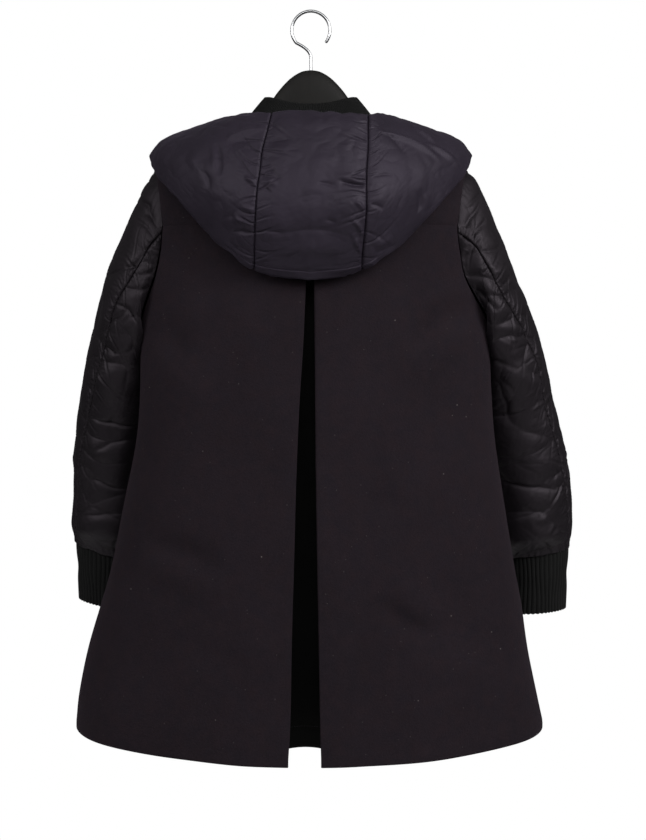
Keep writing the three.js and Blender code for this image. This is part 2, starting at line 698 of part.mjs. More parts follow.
// Wire hook: a straight stem, then most of a circle whose inner top is the point that hangs on the rail
function hangerHook() {
  const radius = HOOK_INNER_RADIUS + WIRE_RADIUS;
  const centre = RAIL_HEIGHT + WIRE_RADIUS - radius;
  const onCircle = (degrees) => {
    const angle = radians(degrees);
    return point(radius * Math.cos(angle), 0, centre + radius * Math.sin(angle));
  };
  const neck = centre - radius - HOOK_BEND;
  const path = new THREE.CurvePath();
  path.add(new THREE.LineCurve3(point(0, 0, HOOK_STEM_FOOT), point(0, 0, neck)));
  path.add(new THREE.QuadraticBezierCurve3(
    point(0, 0, neck),
    point(0, 0, neck + HOOK_BEND),
    onCircle(HOOK_START_ANGLE),
  ));
  path.add(new THREE.CatmullRomCurve3(steps(HOOK_STEPS, HOOK_START_ANGLE, HOOK_END_ANGLE).map(onCircle)));
  const circle = new THREE.Shape();
  circle.absarc(0, 0, WIRE_RADIUS, 0, 2 * Math.PI);
  const line = new THREE.CatmullRomCurve3(path.getSpacedPoints(HOOK_STEPS));
  return new THREE.ExtrudeGeometry(circle, {
    steps: HOOK_STEPS,
    extrudePath: line,
    curveSegments: WIRE_FACETS,
  });
}

// --- Assembly ------------------------------------------------------------------------------------------

const wasm = await Module();
wasm.setup();

const coat = new THREE.Group();
coat.position.z = -RAIL_HEIGHT;

const MATT = 0.9;
const SATIN = 0.45;
const POLISHED = 0.25;

function add(name, geometry, finish, roughness = MATT, metalness = 0) {
  const material = new THREE.MeshStandardMaterial({ color: COLOURS[finish], roughness, metalness });
  const mesh = new THREE.Mesh(geometry, material);
  mesh.name = name;
  coat.add(mesh);
}

function addSleeve(side, table, cuffTable) {
  const grids = sleeveGrids(side, table);
  add(`sleeve_${side}_under`, sleevePiece(grids, BACK_SEAM, FRONT_SEAM), 'sleeve', SATIN);
  add(`sleeve_${side}_top`, sleevePiece(grids, FRONT_SEAM, LOOP_POINTS + BACK_SEAM), 'sleeve', SATIN);
  add(`cuff_${side}`, cuff(side, cuffTable), 'rib');
}

add('back_yoke', backYoke(), 'wool');
add('back_left', backPanel('left'), 'wool');
add('back_right', backPanel('right'), 'wool');
add('pleat_underlay', pleatUnderlay(), 'underlay');
add('front_left', frontPanel('left'), 'wool');
add('front_right', frontPanel('right'), 'wool');
addSleeve('left', SLEEVE_LEFT, CUFF_LEFT);
addSleeve('right', SLEEVE_RIGHT, CUFF_RIGHT);
add('collar', collar(), 'rib');
const hood = hoodGrids();
add('hood_centre', hoodPanel(hood, -HOOD_SEAM_STATION, HOOD_SEAM_STATION), 'hood', SATIN);
add('hood_left', hoodPanel(hood, -HOOD_LAST_STATION, -HOOD_SEAM_STATION), 'hood', SATIN);
add('hood_right', hoodPanel(hood, HOOD_SEAM_STATION, HOOD_LAST_STATION), 'hood', SATIN);
add('hanger_body', hangerBody(wasm), 'hanger', SATIN);
add('hanger_hook', hangerHook(), 'steel', POLISHED, 1);

export default coat;
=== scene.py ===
"""An A-line wool coat with padded sleeves and a padded hood, on a contoured hanger.

Forms are worked out in millimetres above the hem at centre back, as seen by a maker who faces the coat's back:
x towards the wearer's right, y out of the coat's front, z up. make_mesh() turns them into metres below the rail.
"""

import math

import bmesh
import bpy
import numpy as np
from bpy.props import FloatProperty, FloatVectorProperty, PointerProperty
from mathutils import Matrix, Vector
from mathutils.bvhtree import BVHTree


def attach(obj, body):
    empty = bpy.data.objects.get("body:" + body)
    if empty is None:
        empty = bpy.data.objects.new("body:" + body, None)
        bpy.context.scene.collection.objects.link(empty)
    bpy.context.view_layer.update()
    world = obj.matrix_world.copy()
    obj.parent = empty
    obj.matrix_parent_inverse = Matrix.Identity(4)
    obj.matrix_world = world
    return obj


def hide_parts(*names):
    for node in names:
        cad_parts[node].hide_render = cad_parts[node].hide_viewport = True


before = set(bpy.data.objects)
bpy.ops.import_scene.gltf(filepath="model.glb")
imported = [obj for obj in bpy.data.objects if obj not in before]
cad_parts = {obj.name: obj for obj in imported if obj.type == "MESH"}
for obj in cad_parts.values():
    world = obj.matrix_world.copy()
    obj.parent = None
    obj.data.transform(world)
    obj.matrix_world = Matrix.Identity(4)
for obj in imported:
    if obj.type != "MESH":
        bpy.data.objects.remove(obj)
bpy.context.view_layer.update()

bl_info = {
    "name": "Down coat on a hanger",
    "version": (1, 0, 0),
    "blender": (4, 5, 0),
    "location": "3D View > Sidebar > Coat",
    "description": "Builds a hooded wool coat with padded sleeves around its packed frame",
    "category": "Object",
}

MM = 0.001
RAIL_HEIGHT = 910.0

# --- Driving dimensions, millimetres ---

HEM, UNDERARM, YOKE_SEAM = -7.0, 515.0, 641.0  # heights
HEM_RISE = 15.0  # of the hem at the side seams
SECTION_POWER = 0.95  # 1 for an elliptical body
FRONT_LAP, LAP_STEP = 20.0, 4.2  # beyond centre front, and how far the under one lies back
PLEAT_RETURN, PLEAT_NOSE = 58.0, 6.8  # length of the cloth folded in, and thickness of the fold
UNDERLAY_WIDTH, UNDERLAY_GAP = 124.0, 0.5  # laid flat, and clear of the returns
UNDERLAY_HEM, UNDERLAY_TURN = -7.0, 27.0  # height of its hem, and of the stitches above that
NECK_SHARE = 0.5  # of a panel's top edge that runs along the neck
SHOULDER_CROWN, SHOULDER_ROLL, SHOULDER_TURN = 3.0, 6.0, 4.0  # bow of the seam, and the cloth's roll over it
CENTRE_BELLY = 4.0  # of the yoke at centre
SEAM_GAP = 0.3  # between pieces that are sewn together

# height, then half width left and right, depth of back and front
BODY = np.array([
    [0, 302, 298, 150, 138], [37, 298, 290, 148, 135], [96, 286, 278, 143, 130], [158, 268, 269, 137, 124],
    [200, 256, 261, 133, 120], [285, 239, 247, 124, 112], [372, 222, 234, 115, 104], [440, 217, 229, 109, 98],
    [515, 217, 226, 102, 92], [580, 215, 217, 98, 89], [641, 213, 214, 93, 86],
], float)
# height, then distance of the armhole edge from the centre line, left and right
ARMHOLE = np.array([
    [515, 217, 226], [530, 212, 219], [552, 203, 205], [580, 192, 190], [610, 185, 184], [632, 183, 181],
    [641, 182, 181],
], float)
# height, then left edge, right edge, and the angle by which the returns open
PLEAT = np.array([
    [0, 26, 13, 61], [48, 23.5, 11.8, 58], [146, 21.7, 10, 52], [243, 19, 8.2, 45], [337, 16.6, 6.7, 37],
    [423, 13, 5.9, 28], [498, 8.3, 5.3, 20], [573, 5, 4.2, 11], [641, 1.5, 1.5, 2],
], float)
NECK_BACK = np.array([0, -72, 748.0])
NECK_FRONT = np.array([0, 78, 716.0])
NECK_POINT = np.array([92, -2, 760.0])
SHOULDER_POINT = np.array([198, 6, 714.0])

# outer x, outer z, inner x, inner z, middle y, half depth, bow, angle of the back seam
SLEEVE = {
    "right": np.array([
        [215, 692, 233, 503, 4, 60, 18, 80], [240, 638, 224, 483, 12, 67, 9, 75],
        [262, 587, 221, 462, 26, 71, 5, 68], [286, 533, 220, 434, 43, 71, 2, 56],
        [306, 481, 220, 402, 58, 69, 0, 50], [322, 418, 221, 360, 74, 65, 0, 46],
        [339, 360, 231, 318, 86, 61, 0, 42], [350, 300, 240, 272, 95, 58, 0, 38],
        [353, 246, 246, 227, 101, 54, 0, 34], [348, 220, 263, 207, 105, 33, 0, 32],
    ], float),
    "left": np.array([
        [213, 692, 223, 503, 4, 60, 18, 80], [239, 638, 213, 483, 12, 67, 9, 75],
        [262, 590, 210, 462, 26, 71, 5, 68], [279, 533, 208, 434, 43, 71, 2, 63],
        [295, 478, 208, 400, 58, 69, 0, 60], [308, 418, 209, 360, 74, 65, 0, 53],
        [318, 352, 212, 312, 86, 61, 0, 41], [321, 300, 213, 272, 95, 58, 0, 37],
        [325, 250, 218, 227, 101, 54, 0, 33], [320, 228, 234, 202, 105, 33, 0, 32],
    ], float),
}
# outer x, outer z, inner x, inner z, middle y, half depth
CUFF = {
    "right": np.array([
        [349, 219.7, 265, 206.7, 105, 32], [348, 178, 266, 169, 108, 30], [347, 137, 268, 130, 110, 31],
    ], float),
    "left": np.array([
        [320, 227.7, 235, 201.7, 105, 32], [319, 188, 235, 168, 108, 30], [318, 150, 236, 134, 110, 31],
    ], float),
}
# angle round the neck from centre back, then x, y, z of the collar's rim
COLLAR_RIM = np.array([
    [0, 0, -56, 789], [22, 21, -54, 790.5], [50, 46, -40, 798], [68, 55, -22, 802], [90, 59, -1, 803],
    [135, 47, 42, 786], [180, 0, 64, 757],
], float)
# station, then x, y, z of the middle of the hood wall at its rim, shoulder, belly, fold, lining and neck
HOOD = np.array([
    [0, 0, -119, 763, 0, -133, 735, 0, -152, 650, 0, -107, 579, 0, -101, 642, 0, -81, 752],
    [1, 60, -112, 764, 61, -126, 737, 64, -147, 652, 65, -103, 588, 60, -98, 647, 50, -76, 756],
    [1.5, 73, -93, 768, 80, -111, 743, 88, -136, 664, 85, -101, 606, 78, -96, 655, 66, -67, 758],
    [2, 84, -72, 770, 98, -93, 750, 112, -122, 680, 105, -98, 620, 96, -92, 664, 80, -55, 760],
    [3, 96, -40, 770, 130, -62, 755, 153, -88, 708, 147, -87, 661, 134, -70, 692, 93, -36, 761],
    [4, 100, -14, 769, 146, -32, 758, 184, -50, 727, 186, -49, 702, 160, -35, 722, 99, -12, 761],
    [5, 100, 8, 768, 150, 4, 758, 186, 0, 744, 197, -3, 730, 180, 4, 735, 100, 6, 761],
    [6, 96, 36, 764, 130, 44, 745, 158, 50, 722, 166, 52, 706, 146, 50, 716, 93, 32, 757],
    [7, 76, 62, 747, 92, 78, 733, 104, 88, 716, 106, 90, 703, 95, 86, 708, 76, 64, 740],
    [8, 62, 76, 740, 72, 86, 737, 80, 95, 727, 80, 97, 715, 71, 90, 708, 62, 79, 721],
], float)
HOOD_SEAM_STATION = 1
HOOD_LEAN = 11.0

SIDES = {"left": -1, "right": 1}
HALVES = {"back": -1, "front": 1}
BODY_COLUMN = {"left": 1, "right": 2, "back": 3, "front": 4}
PLEAT_COLUMN = {"left": 1, "right": 2, "angle": 3}

# --- Forms ---


def mix(a, b, t):
    """The value at share t from a to b."""
    return a + (b - a) * t


def smoothstep(x, low=0.0, high=1.0):
    """0 up to low, 1 from high, and a soft rise between."""
    t = np.clip((x - low) / (high - low), 0, 1)
    return t * t * (3 - 2 * t)


def cubic(a, b, slope_a, slope_b, span, t):
    """Hermite curve from a to b with those slopes, at shares t of its span."""
    t2, t3 = t * t, t * t * t
    return ((2 * t3 - 3 * t2 + 1) * a + (t3 - 2 * t2 + t) * span * slope_a
            + (3 * t2 - 2 * t3) * b + (t3 - t2) * span * slope_b)


def column(table, index, at):
    """Smooth value of one column of a table whose first column rises."""
    x, v = table[:, 0], table[:, index]
    slope = np.empty_like(v)
    slope[1:-1] = (v[2:] - v[:-2]) / (x[2:] - x[:-2])
    slope[0] = (v[1] - v[0]) / (x[1] - x[0])
    slope[-1] = (v[-1] - v[-2]) / (x[-1] - x[-2])
    i = np.clip(np.searchsorted(x, at, side="right") - 1, 0, len(x) - 2)
    span = x[i + 1] - x[i]
    return cubic(v[i], v[i + 1], slope[i], slope[i + 1], span, np.clip((at - x[i]) / span, 0, 1))


def numbered(table):
    """The table with a first column that counts its rows."""
    return np.column_stack([np.arange(len(table), dtype=float), table])


def unit(v):
    """The directions v at length 1."""
    return v / np.maximum(np.linalg.norm(v, axis=-1, keepdims=True), 1e-9)


def along_rows(points, places):
    """Cubic curves through points[k] for each later index, read at places from 0 to 1 of the mean length."""
    step = np.linalg.norm(np.diff(points, axis=0), axis=-1)
    step = step.reshape(len(step), -1).mean(1)
    knots = np.concatenate([[0], np.cumsum(step)])
    shape = (-1,) + (1,) * (points.ndim - 1)
    gap = np.diff(knots).reshape(shape)
    secant = np.diff(points, axis=0) / gap
    slope = np.empty_like(points)
    slope[1:-1] = (secant[:-1] * gap[1:] + secant[1:] * gap[:-1]) / (gap[1:] + gap[:-1])
    slope[0] = 1.5 * secant[0] - 0.5 * slope[1]
    slope[-1] = 1.5 * secant[-1] - 0.5 * slope[-2]
    at = np.asarray(places) * knots[-1]
    i = np.clip(np.searchsorted(knots, at, side="right") - 1, 0, len(knots) - 2)
    span = (knots[i + 1] - knots[i]).reshape(shape)
    return cubic(points[i], points[i + 1], slope[i], slope[i + 1], span, ((at - knots[i]).reshape(shape)) / span)


def rounded(value):
    """A sine or cosine bent so that the body's section is a little fuller than an ellipse."""
    return np.sign(value) * np.abs(value) ** SECTION_POWER


def across_angle(side, height, x):
    """Angle round the body, from centre, at which its section is x wide."""
    width = column(BODY, BODY_COLUMN[side], height)
    return np.arcsin(np.clip(x / width, 0, 1) ** (1 / SECTION_POWER))


def edge_angle(side, height):
    """Angle of the side seam, or above the underarm of the armhole edge."""
    armhole = across_angle(side, height, column(ARMHOLE, BODY_COLUMN[side], height))
    return np.where(height > UNDERARM, armhole, math.pi / 2)


def body_point(side, half, height, share):
    """Outer face of the body below the yoke seam, from centre (share 0) to side seam or armhole (1)."""
    height, share = np.broadcast_arrays(np.asarray(height, float), np.asarray(share, float))
    depth = HALVES[half] * column(BODY, BODY_COLUMN[half], height)
    width = column(BODY, BODY_COLUMN[side], height)
    angle = share * edge_angle(side, height)
    across = rounded(np.sin(angle))
    rise = HEM_RISE * np.clip((UNDERARM - height) / (UNDERARM - HEM), 0, None)
    return np.stack([SIDES[side] * width * across, depth * rounded(np.cos(angle)), height + rise * across ** 2], -1)


def top_point(side, half, share):
    """Neckline and shoulder seam, from centre (0) to the shoulder point (1)."""
    neck = NECK_BACK if half == "back" else NECK_FRONT
    sign = SIDES[side]
    t = np.clip(share / NECK_SHARE, 0, 1)
    angle = t * math.pi / 2
    low = np.stack([sign * NECK_POINT[0] * np.sin(angle), mix(NECK_POINT[1], neck[1], np.cos(angle)),
                    mix(neck[2], NECK_POINT[2], t * t)], -1)
    t = np.clip((share - NECK_SHARE) / (1 - NECK_SHARE), 0, 1)
    line = mix(NECK_POINT, SHOULDER_POINT, t[..., None])
    high = np.stack([sign * line[..., 0], line[..., 1], line[..., 2] + SHOULDER_CROWN * np.sin(math.pi * t)], -1)
    return np.where((share <= NECK_SHARE)[..., None], low, high)


def shoulder_point(side, half, share, climb):
    """Above the yoke seam the cloth rolls over the shoulder; climb runs from 0 at the seam to 1 at the top."""
    share, climb = np.broadcast_arrays(np.asarray(share, float), np.asarray(climb, float))
    size = np.abs(share)
    low = body_point(side, half, YOKE_SEAM, share)
    high = top_point(side, half, size)
    high[..., 0] *= np.where(share < 0, -1, 1)
    roll = smoothstep(size, 0, NECK_SHARE)
    bend = (low + high) / 2
    bend[..., 1] = mix(bend[..., 1] + CENTRE_BELLY * HALVES[half], low[..., 1] - SHOULDER_ROLL * HALVES[half], roll)
    bend[..., 2] = mix(bend[..., 2], high[..., 2] - SHOULDER_TURN, roll)
    t = climb[..., None]
    return mix(mix(low, bend, t), mix(bend, high, t), t)


def pleat_fold(side, height):
    """The folded edge by height: its inner side, the direction of the return, its x and how thick the fold is."""
    edge = column(PLEAT, PLEAT_COLUMN[side], height)
    angle = column(PLEAT, PLEAT_COLUMN["angle"], height)
    nose = mix(PLEAT_NOSE, PLEAT_NOSE / 2, angle / PLEAT[0, 3])
    share = across_angle(side, height, edge) / edge_angle(side, height)
    back = body_point(side, "back", height, share) + np.stack([0 * nose, nose, 0 * nose], -1)
    turn = np.radians(angle)
    away = np.stack([SIDES[side] * np.cos(turn), np.sin(turn), 0 * turn], -1)
    return back, away, edge, nose


def ring_point(side, ring, angle, shrink=0.0):
    """Point of a sleeve or cuff ring at an angle from its outermost point, over its back."""
    sign = SIDES[side]
    outer_x, outer_z, inner_x, inner_z, middle_y, half_depth = ring[:6]
    bow = ring[6] if len(ring) > 6 else 0.0
    half = np.array([sign * (outer_x - inner_x) / 2, 0, (outer_z - inner_z) / 2])
    length = np.linalg.norm(half)
    middle = np.array([sign * (outer_x + inner_x) / 2, middle_y, (outer_z + inner_z) / 2])
    points = middle + np.cos(angle)[:, None] * half * (length - shrink) / length
    points[:, 0] -= sign * bow * np.sin(angle) ** 2
    points[:, 1] -= (half_depth - shrink) * np.sin(angle)
    return points


def table_row(table, at):
    """A row of the table between its rows, counted from 0."""
    full = numbered(table)
    return np.array([float(column(full, k + 1, np.array([at]))[0]) for k in range(table.shape[1])])


# A sleeve's columns are counted from the shoulder, over the back to the underarm and up the front
BACK_SEAM, UNDERARM_SEAM, FRONT_SEAM, LOOP_END = 5.0, 10.0, 13.0, 20.0
LOOP_YOKE = 4.0
FRONT_SEAM_ANGLE = 240.0


def armhole_loop(side, at):
    """Armhole edge at loop places from 0 to 20."""
    at = np.asarray(at, float)
    heights = ARMHOLE[::-1, 0]
    inward = np.where(at <= UNDERARM_SEAM, at, LOOP_END - at)
    height = np.interp(inward, np.linspace(LOOP_YOKE, UNDERARM_SEAM, len(heights)), heights)
    climb = np.clip(1 - inward / LOOP_YOKE, 0, 1)
    faces = []
    for half in HALVES:
        below = body_point(side, half, height, 1.0)
        above = shoulder_point(side, half, np.ones_like(climb), climb)
        faces.append(np.where((inward < LOOP_YOKE)[:, None], above, below))
    return np.where((at <= UNDERARM_SEAM)[:, None], faces[0], faces[1])


def loop_angle(at, seam):
    """Angle round a sleeve's ring at a loop place, when the back seam is at the angle seam."""
    marks = [0, BACK_SEAM, UNDERARM_SEAM, FRONT_SEAM, LOOP_END]
    return np.radians(np.interp(at, marks, [0, seam, 180, FRONT_SEAM_ANGLE, 360]))


def hood_section(sign, station, count):
    """Middle of the hood wall at a station, from its rim over the outside, round the fold and up to the neck."""
    lean = HOOD_LEAN * max(0.0, 1 - (station / (2 * HOOD_SEAM_STATION)) ** 2)
    places = np.linspace(0, 1, 6)
    controls = np.array([[float(column(HOOD, 1 + 3 * k + axis, np.array([station]))[0]) for axis in range(3)]
                         for k in range(6)])
    controls[:, 0] = sign * controls[:, 0] + lean * np.clip(1 - 2 * places, 0, None)
    fine = along_rows(controls[:, None, :], np.linspace(0, 1, 8 * count))
    return along_rows(fine, np.linspace(0, 1, count))[:, 0]


# --- Grids, walls and meshes ---


def grid_normals(grid, outward=1.0, around=False):
    """Outward directions of a grid of points, rows by columns."""
    if around:
        along = np.roll(grid, -1, 1) - np.roll(grid, 1, 1)
    else:
        along = np.gradient(grid, axis=1)
    return unit(np.cross(along, np.gradient(grid, axis=0))) * outward


def ring_normals(rings):
    """Outward directions of rings that lie one below the other."""
    normals = grid_normals(rings, 1, around=True)
    centre = rings.mean(1, keepdims=True)
    return normals * np.sign(((rings - centre) * normals).sum(-1).mean())


def lengths(grid, axis):
    """Distance along the cloth from the first row or column, point by point."""
    step = np.linalg.norm(np.diff(grid, axis=axis), axis=-1)
    zero = np.zeros_like(np.take(step, [0], axis=axis))
    return np.concatenate([zero, np.cumsum(step, axis=axis)], axis=axis)


def from_edges(grid):
    """Distances from the low, high, start and end edges of a grid."""
    up, along = lengths(grid, 0), lengths(grid, 1)
    return up, up[-1:] - up, along, along[:, -1:] - along


def quads_of(index, around=False):
    """Four-sided faces between neighbours of a grid of point numbers."""
    wide = np.concatenate([index, index[:, :1]], 1) if around else index
    return np.stack([wide[:-1, :-1], wide[:-1, 1:], wide[1:, 1:], wide[1:, :-1]], -1).reshape(-1, 4)


def border(rows, columns, around):
    """Point numbers round a grid's open edges, with the number of the point one step inside each."""
    index = np.arange(rows * columns).reshape(rows, columns)
    if around:
        return [(index[0], index[1]), (np.roll(index[-1][::-1], 1), np.roll(index[-2][::-1], 1))]
    inside = index.copy()
    inside[0], inside[-1] = index[1], index[-2]
    inside[:, 0], inside[:, -1] = inside[:, 1], inside[:, -2]
    ring = lambda g: np.concatenate([g[0], g[1:, -1], g[-1, -2::-1], g[-2:0:-1, 0]])
    return [(ring(index), ring(inside))]


RIM_CUTS = 3


def wall_mesh(name, outer, inner, uv, around=False, bulge=0.5):
    """Closed wall between two grids in millimetres, with rounded rims, as a mesh in metres under the rail.

    The face that is seen less keeps every second row and column, so a grid has an odd number of each, and a closed
    one an even number of columns.
    """
    rows, columns = outer.shape[:2]
    size = rows * columns
    hidden = inner.reshape(-1, 3)
    coarse = inner[::2, ::2]
    points = [outer.reshape(-1, 3), coarse.reshape(-1, 3)]
    flat = [uv.reshape(-1, 2), uv[::2, ::2].reshape(-1, 2)]
    total = size + coarse.shape[0] * coarse.shape[1]
    back = np.arange(size, total).reshape(coarse.shape[:2])
    quads = [quads_of(np.arange(size).reshape(rows, columns), around), quads_of(back, around)[:, ::-1]]
    triangles = []
    for (loop, inside), (far, _) in zip(border(rows, columns, around), border(*coarse.shape[:2], around)):
        o, i = points[0][loop], hidden[loop]
        out = unit(o - points[0][inside])
        out_flat = unit(flat[0][loop] - flat[0][inside])
        middle, half = (o + i) / 2, (o - i) / 2
        thick = np.linalg.norm(half, axis=-1, keepdims=True)
        rings = [loop]
        for cut in range(1, RIM_CUTS + 1):
            angle = math.pi * cut / (RIM_CUTS + 1)
            points.append(middle + half * math.cos(angle) + out * thick * bulge * math.sin(angle))
            flat.append(flat[0][loop] + out_flat * thick * angle)
            rings.append(np.arange(total, total + len(loop)))
            total += len(loop)
        for a, b in zip(rings[:-1], rings[1:]):
            quads.append(np.stack([np.roll(a, -1), a, b, np.roll(b, -1)], -1))
        a, b = rings[-1], far + size
        ahead = np.roll(b, -1)
        triangles += [np.stack([a[1::2], a[::2], b], -1), np.stack([a[1::2], b, ahead], -1),
                      np.stack([np.roll(a, -2)[::2], a[1::2], ahead], -1)]
    points, flat = np.concatenate(points), np.concatenate(flat)
    quads, triangles = np.concatenate(quads), np.concatenate(triangles)
    if volume_of(points, quads, triangles) < 0:
        quads, triangles = quads[:, ::-1], triangles[:, ::-1]
    wrap = uv[..., 0].max() - uv[..., 0].min() if around else 0.0
    return make_mesh(name, points, [quads, triangles], flat, wrap)


def volume_of(points, quads, triangles=()):
    """Six times the volume inside, below 0 where the faces point in."""
    a, b, c, d = (points[quads[:, k]] for k in range(4))
    total = (np.cross(a, b) * c).sum() + (np.cross(a, c) * d).sum()
    if len(triangles):
        a, b, c = (points[triangles[:, k]] for k in range(3))
        total += (np.cross(a, b) * c).sum()
    return total


def metres(points):
    """Points in millimetres above the hem, as a list in metres from the rail."""
    return ((points - np.array([0, 0, RAIL_HEIGHT])) * MM).tolist()


def make_mesh(name, points, faces, flat=None, wrap=0.0):
    """A smooth-shaded mesh in metres from points in millimetres and lists of faces with as many sides each."""
    mesh = bpy.data.meshes.new(name)
    mesh.from_pydata(metres(points), [], [face for kind in faces for face in kind.tolist()])
    if flat is not None:
        at = []
        for kind in faces:
            corner = flat[kind]
            if wrap:
                u = corner[..., 0]
                u += np.where(u < u.max(1, keepdims=True) - wrap / 2, wrap, 0)
            at.append(corner.reshape(-1, 2))
        mesh.uv_layers.new(name="cloth").data.foreach_set("uv", (np.concatenate(at) * MM).ravel())
    mesh.shade_smooth()
    mesh.update()
    return mesh


def uv_of(grid):
    """Cloth lengths across and along, as a flat pattern in millimetres."""
    across = lengths(grid, 1)
    return np.stack([across - across[:, :1], lengths(grid, 0)], -1)


def put(name, mesh, material):
    """A new object at the origin with one material."""
    piece = bpy.data.objects.new(name, mesh)
    bpy.context.scene.collection.objects.link(piece)
    mesh.materials.clear()
    mesh.materials.append(material)
    return piece


def declare(piece, slot, *nodes):
    """A finished piece rides with the coat, in place of the nodes it stands for; slot is not used."""
    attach(piece, "root")
    if nodes:
        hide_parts(*nodes)
    return piece


def node_of(piece):
    """A cloth piece is named for its stuff and then its node."""
    return piece.name.split("_", 1)[1]


def seam_roll(grid, normals, depth, width, edges):
    """Edges that are sewn turn in: moves a grid against its outward directions near the named edges."""
    distance = dict(zip(("low", "high", "start", "end"), from_edges(grid)))
    amount = sum(depth * np.exp(-(distance[edge] / width) ** 2) for edge in edges)
    return grid - normals * np.minimum(amount, depth)[..., None]


def creases(flat, table, sharp=False):
    """Troughs and ridges. Each row: start, end, bow, half width, and height (below 0 a trough).

    With sharp set the troughs are narrow at the bottom and open out, as in padded cloth.
    """
    total = np.zeros(flat.shape[:-1])
    for x0, z0, x1, z1, bow, width, height in table:
        start, along = np.array([x0, z0], float), np.array([x1 - x0, z1 - z0], float)
        length = np.hypot(*along)
        along = along / length
        offset = flat - start
        t = (offset @ along) / length
        side = offset @ np.array([-along[1], along[0]]) - bow * 4 * np.clip(t, 0, 1) * (1 - np.clip(t, 0, 1))
        past = np.maximum(np.maximum(-t, t - 1), 0) * length
        fade = np.clip(np.minimum(t, 1 - t) * 3.0, 0, 1) ** 0.7
        if sharp and height < 0:
            across = 1.35 * (np.sqrt((side / width) ** 2 + 0.02) - 0.141)
        else:
            across = (side / width) ** 2
        total += height * np.exp(-across - (past / width) ** 2) * fade
    return total


def soft_noise(points, wavelength, seed):
    """Smooth noise, about -0.7 to 0.7, at points in millimetres."""
    chance = np.random.default_rng(seed)
    order = chance.permutation(256)
    slopes = unit(chance.normal(size=(256, 3)))
    at = points / wavelength
    cell = np.floor(at).astype(int)
    part = at - cell
    ease = part ** 3 * (part * (part * 6 - 15) + 10)
    total = np.zeros(points.shape[:-1])
    for corner in range(8):
        step = np.array([corner & 1, corner >> 1 & 1, corner >> 2 & 1])
        x, y, z = np.moveaxis((cell + step) & 255, -1, 0)
        slope = slopes[order[(x + order[(y + order[z]) & 255]) & 255]]
        weight = np.prod(np.where(step == 1, ease, 1 - ease), axis=-1)
        total += weight * ((part - step) * slope).sum(-1)
    return total


def billows(points, wavelength, seed):
    """Rounded swellings with sharp valleys between them, from 0 in a valley to about 1."""
    bend = np.stack([soft_noise(points, 2.1 * wavelength, seed + k) for k in (7, 8, 9)], -1)
    return np.abs(soft_noise(points + 0.9 * wavelength * bend, wavelength, seed)) ** 0.8 * 1.6


def gathers(distance, along, seed, spacing, reach, depth):
    """Sharp uneven gathers that run away from a seam, each a trough with a ridge on either side."""
    chance = np.random.default_rng(seed)
    near = distance < 3 * reach
    d, a = distance[near], along[near]
    total = np.zeros(len(d))
    place, last = float(along.min()), float(along.max())
    while place < last:
        place += spacing * chance.uniform(0.45, 1.7)
        far = reach * chance.uniform(0.25, 1.0) ** 1.5 * 1.6
        width = chance.uniform(0.9, 1.5) + 0.07 * d
        lean, bow = chance.uniform(-0.55, 0.55), chance.uniform(-0.012, 0.012)
        size = depth * chance.uniform(0.35, 1.0)
        off = (a - place - lean * d - bow * d * d) / width
        total -= size * (1 - 0.9 * off ** 2) * np.exp(-off ** 2 - (d / far) ** 2) * (1 - np.exp(-d / 1.2))
    result = np.zeros(distance.shape)
    result[near] = total
    return result


def groove(distance, depth, width):
    """How far a seam pulls padded cloth in: sharp at the stitching, with rounded shoulders."""
    near = 1 - np.clip(distance / width, 0, 1)
    return depth * (1 - np.sqrt(1 - near ** 2))


def swayed(cloth, seams, seed, size):
    """Seams waver a little: moves cloth sideways near them, the same on both sides."""
    height = cloth * np.array([0, 0, 1.0]) + 3.3
    sway = soft_noise(height, 11.0, seed) + 1.6 * soft_noise(height, 37.0, seed + 1)
    return cloth + unit(np.gradient(cloth, axis=1)) * (size * sway * np.exp(-(seams / 10.0) ** 2))[..., None]


# How cloth settles: passes, unevenness at the start in millimetres, and its strength on the bias and in bending
SETTLING_ROUNDS = 70
FIRST_ROUGHNESS = 0.4
BIAS_STRENGTH = 0.4
BEND_STRENGTH = 0.12


def edge_pairs(rows, columns, down, across):
    """Numbers of point pairs that far apart, in two lots in which no point comes twice."""
    index = np.arange(rows * columns).reshape(rows, columns)
    i, j = np.meshgrid(np.arange(rows), np.arange(columns), indexing="ij")
    inside = (i + down < rows) & (j + across < columns) & (j + across >= 0)
    lead = i if down else j
    step = max(abs(down), abs(across)) if not (down and across) else 1
    lots = []
    for phase in (0, 1):
        chosen = inside & ((lead // step) % 2 == phase)
        first = index[chosen]
        lots.append((first, first + down * columns + across))
    return lots


